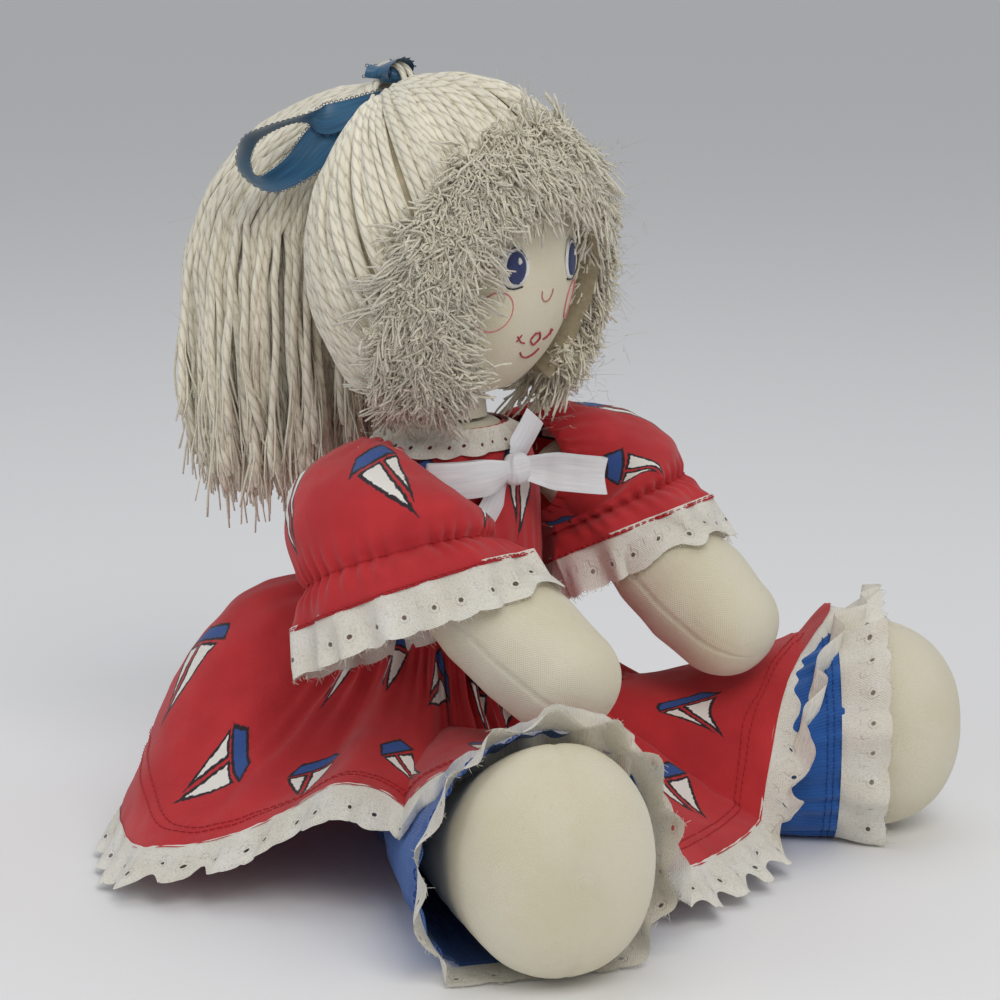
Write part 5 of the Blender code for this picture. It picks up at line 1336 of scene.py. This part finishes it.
def ribbon_piece(name, path, across, width, kind, node, curl=0.0006, picot=None, count=90):
    """A ribbon along a path; across gives its width direction, or the path holds both its edges."""
    finish, slot_name, body = kind
    path = smooth_path(path, count)
    if across is None:
        across = path[:, 3:] - path[:, :3]
        path, width = (path[:, :3] + path[:, 3:]) / 2, np.linalg.norm(across, axis=1)
    else:
        across = smooth_path(across, count)
        width = np.interp(np.linspace(0, 1, count), np.linspace(0, 1, len(width)), width)
    along = unit(np.gradient(path, axis=0))
    wide = unit(across - along * (across * along).sum(-1, keepdims=True))
    normal = np.cross(along, wide)
    t = np.linspace(-0.5, 0.5, 15)
    grid = (path[:, None] + wide[:, None] * (t * width[:, None])[..., None]
            + normal[:, None] * ((np.cos(t * math.pi) - 0.5)[:, None] * curl))
    grid += (smooth_noise(grid, 130.0, 1.0) * 0.0003)[..., None] * normal[:, None]
    run = run_along(path)
    uv = np.stack(np.broadcast_arrays(run[:, None], t * width.max()), 2)
    obj = grid_object(name, grid, finish, closed=False, uv=uv)
    seat(obj, body, slot_name, node)
    declare(grid, closed=False)
    if picot:
        phi = np.linspace(-0.5, math.pi + 0.5, 8)
        spots = np.arange(0.0006, run[-1] - 0.0006, 0.00235)
        ahead = (np.cos(phi) * 0.00075)[:, None] * sample(spots, run, along)[:, None]
        loops = [sample(spots, run, grid[:, edge])[:, None] + ahead
                 + ((np.sin(phi) + 0.2) * 0.00085 * sign)[:, None] * sample(spots, run, wide)[:, None]
                 for edge, sign in ((0, -1), (-1, 1))]
        seat(strands_object(name + "_picot", np.concatenate(loops), 0.00019, picot, 4), body, slot_name)


def knot_piece(name, centre, half, kind, node):
    """A ribbon's knot: a small wrapped block with soft creases."""
    finish, slot_name, body = kind
    angle = full_turn(64)
    rows = []
    for a in np.linspace(0.12, math.pi - 0.12, 30):
        size = math.sin(a) ** 0.55 * (1 + 0.05 * np.sin(angle * 5 + 2 * math.cos(a)) + 0.03 * np.sin(angle * 9))
        x, y = power(np.cos(angle), 2.8) * half[0] * size, power(np.sin(angle), 2.8) * half[1] * size
        rows.append(centre + points_of(x, y, half[2] * math.cos(a)))
    obj = grid_object(name, np.array(rows), finish, start=centre + UP * half[2], end=centre - UP * half[2])
    seat(obj, body, slot_name, node)


def chest(x, height, outset):
    """A place on the front of the bodice."""
    line = torso_at(height, np.linspace(math.pi, ALL_ROUND, 400), DRESS + outset)
    return line[int(np.argmin(np.abs(line[:, 0] - x)))]


WHITE_RIBBON = 0.016


def chest_bow():
    """The white satin bow: a knot, two loops and two cut tails."""
    height, size, stand = 0.171, 0.0070, 0.0036
    knot = chest(0, height, stand + size * 0.62)
    knot_piece("bow_knot_wrap", knot, (size, size * 0.62, size), WHITE, "bow_knot")
    start, depth, count = size * 0.6, 0.0042, 12
    part = np.arange(count + 1) / count
    for name, m, reach, drop, ahead in (("right", -1, 0.0335, 0.03, 0.0), ("left", 1, 0.0245, 0.20, 0.030)):
        front = np.array([chest(m * (start + (reach + size * 0.4) * s), height - reach * drop * s, stand)
                          for s in part])
        front[:, 1] -= ahead * part ** 1.5 + 0.0016 + 0.0034 * np.sin(math.pi * part).clip(0) ** 0.8
        along = unit(np.gradient(front, axis=0))
        rise = np.stack([m * along[:, 1], -m * along[:, 0], 0 * along[:, 0]], -1)
        back = front + rise * (depth * (0.5 + 0.5 * np.minimum(2 * part, 1)))[:, None]
        bend = [front[-1] + rise[-1] * depth * 0.5 * (1 + math.sin(a)) + along[-1] * depth * 0.55 * math.cos(a)
                for a in np.radians((-50, -15, 20, 55))]
        path = np.vstack([front, bend, back[-2::-1]])
        way = np.linspace(0, 1, len(path))
        width = WHITE_RIBBON * (0.50 + 0.50 * np.minimum(1, 5 * np.minimum(way, 1 - way)))
        ribbon_piece("bow_loop_%s_ribbon" % name, path, np.tile(UP, (len(path), 1)), width, WHITE,
                     "bow_loop_" + name, curl=0.0012)
    part = np.linspace(0, 1, 9)
    for name, m, reach, rise in (("right", -1, 0.027, -0.027), ("left", 1, 0.014, 0.0165)):
        z = height + math.copysign(start, rise) + rise * part
        lift, ahead = (0.55, 0) if rise < 0 else (0.8, 0.0036)
        path = np.array([chest(m * (start * 0.8 + reach * s), min(up, height), stand * lift)
                         for s, up in zip(part, z)])
        path[:, 1] -= ahead * part + 0.0012
        path[:, 2] = z
        step = path[-1] - path[0]
        width = WHITE_RIBBON * np.minimum(0.45 + 2.2 * part, 1) * 0.92
        ribbon_piece("bow_tail_%s_ribbon" % name, path, np.tile([-step[2], 0, step[0]], (9, 1)), width, WHITE,
                     "bow_tail_" + name, curl=0.0007)


# Both edges of the hair ribbon's loop, in mm from the tie: down the tail's side, round, and back on top
LOOP = ((-3, -3, -1, -3, -1, 3), (-10, 0, -9, -11, 8, 0), (-17, 6, -16, -19, 17, -5), (-25, 12, -24, -27, 25, -12),
        (-36, 20, -34, -35, 33, -26), (-47, 27, -39, -42, 40, -33), (-55, 33, -37, -45, 44, -33),
        (-59, 39, -31, -45, 46, -28), (-59, 41, -24, -43, 46, -22), (-55, 40, -16, -40, 43, -17),
        (-48, 33, -11, -34, 36, -12), (-36, 22, -6, -28, 28, -10), (-24, 17, -3, -28, 18, -15),
        (-16, 9, 0, -21, 7, -10), (-10, 1, 3, -10, -2, -4), (-4, -2, 4, -5, -5, 0))
FAR_LOOP = (0.93, 0.97, 1.04, 0.93, 0.97, 1.04)


def hair_ribbon():
    """The blue picot ribbon: a fold tied over the tail's root and an open loop down each side of the tail."""
    knot = TIE + np.array([0, 0.0010, 0.0094])
    knot_piece("hair_ribbon_wrap", knot, (0.0064, 0.0056, 0.0036), BLUE, "hair_ribbon_knot")
    turn = np.linspace(-1.9, 1.9, 15)
    path = knot + points_of(np.sin(turn) * 0.0084, 0.002 - 0.003 * np.cos(turn), np.cos(turn) * 0.0055 + 0.0008)
    across = np.array([0, 1, -0.30]) + np.sin(turn)[:, None] * (0.5, 0, 0.4)
    ribbon_piece("hair_ribbon_fold", path, across, 0.0110 + 0.002 * np.cos(turn), BLUE,
                 "hair_ribbon_knot", picot=blue_picot, count=60)
    angle = full_turn(40)
    rings = [joined_up(points_of(x + lean * 0.004 * np.cos(angle), np.cos(angle) * 0.0086, np.sin(angle) * 0.0074))
             + knot - UP * 0.0022 for x, lean in ((-0.0018, 0.25), (0.0016, -0.15))]
    seat(strands_object("hair_ribbon_yarn", np.array(rings), 0.0014, yarn, 7), "ponytail", "cream_yarn")
    for name, m in (("near", -1), ("far", 1)):
        edges = np.array(LOOP) * 0.001 * (-m, 1, 1, -m, 1, 1)
        if m > 0:
            edges[4:12] *= FAR_LOOP
        ribbon_piece("hair_ribbon_%s_satin" % name, edges + np.tile(TIE, 2), None, None, BLUE,
                     "hair_ribbon_loop_" + name, curl=0.0008, picot=blue_picot, count=130)


# Stage, light and camera

def light(name, place, energy, size, colour):
    lamp = bpy.data.lights.new(name, "AREA")
    lamp.energy, lamp.size, lamp.color = energy, size, colour
    add(name, lamp, place, (Vector((0, 0, 0.15)) - Vector(place)).to_track_quat("-Z", "Y"))


def add(name, data, place, turn):
    obj = bpy.data.objects.new(name, data)
    bpy.context.scene.collection.objects.link(obj)
    obj.location = place
    obj.rotation_mode = "QUATERNION"
    obj.rotation_quaternion = turn
    return obj


def stage_and_light():
    white = Finish("white_surface", (0.93, 0.93, 0.94), 0.6).material
    far, below = 40.0, -0.0004
    mesh_object("floor", [(x * far, y * far, below) for x, y in ((-1, -1), (1, -1), (1, 1), (-1, 1))],
                         [(0, 1, 2, 3)], white)
    scene = bpy.context.scene
    scene.world = bpy.data.worlds.new("studio")
    scene.world.use_nodes = True
    background = next(n for n in scene.world.node_tree.nodes if n.type == "BACKGROUND")
    background.inputs[0].default_value = (0.80, 0.81, 0.83, 1)
    background.inputs[1].default_value = 0.50
    light("key", (-0.9, -1.4, 1.8), 17, 1.1, (1.0, 0.97, 0.93))
    light("top", (0.3, 0.2, 2.0), 7, 1.6, (0.95, 0.98, 1.0))
    light("fill", (-1.6, 0.9, 0.9), 4, 1.2, (0.93, 0.96, 1.0))
    camera = bpy.data.cameras.new("camera")
    camera.lens, camera.sensor_width = 110.2, 36.0
    camera.clip_start, camera.clip_end = 0.05, 90
    back, right, up = Vector((-0.786, -0.586, 0.198)), Vector((0.598, -0.802, 0)), Vector((0.158, 0.118, 0.980))
    turn = Matrix((right, up, back)).transposed().to_quaternion()
    scene.camera = add("camera", camera, (-1.0493, -0.8099, 0.4201), turn)
    scene.render.resolution_x = scene.render.resolution_y = 1000
    scene.view_settings.view_transform = "Standard"


stage_and_light()
head_mesh()
face()
torso_pieces()
back_closing()
skirt()
for side, mirror in (("right", -1), ("left", 1)):
    arm(side, mirror)
    sleeve(side, mirror)
    leg(side, mirror)
neck_trim()
chest_bow()
hair_ribbon()
cap_paths = hair_cap()
fringe_paths = hair_fringe()
tail_paths = ponytail()
fuzz("hair_fuzz_head", [cap_paths, fringe_paths, fringe_paths], 9000, "head")
fuzz("hair_fuzz_ponytail", [tail_paths], 4000, "ponytail")
# The CAD hair cap under the yarn strands gets the painted shade yarn.
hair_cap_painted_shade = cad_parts["hair_cap"].data.materials
hair_cap_painted_shade.clear()
hair_cap_painted_shade.append(painted_shade_yarn)
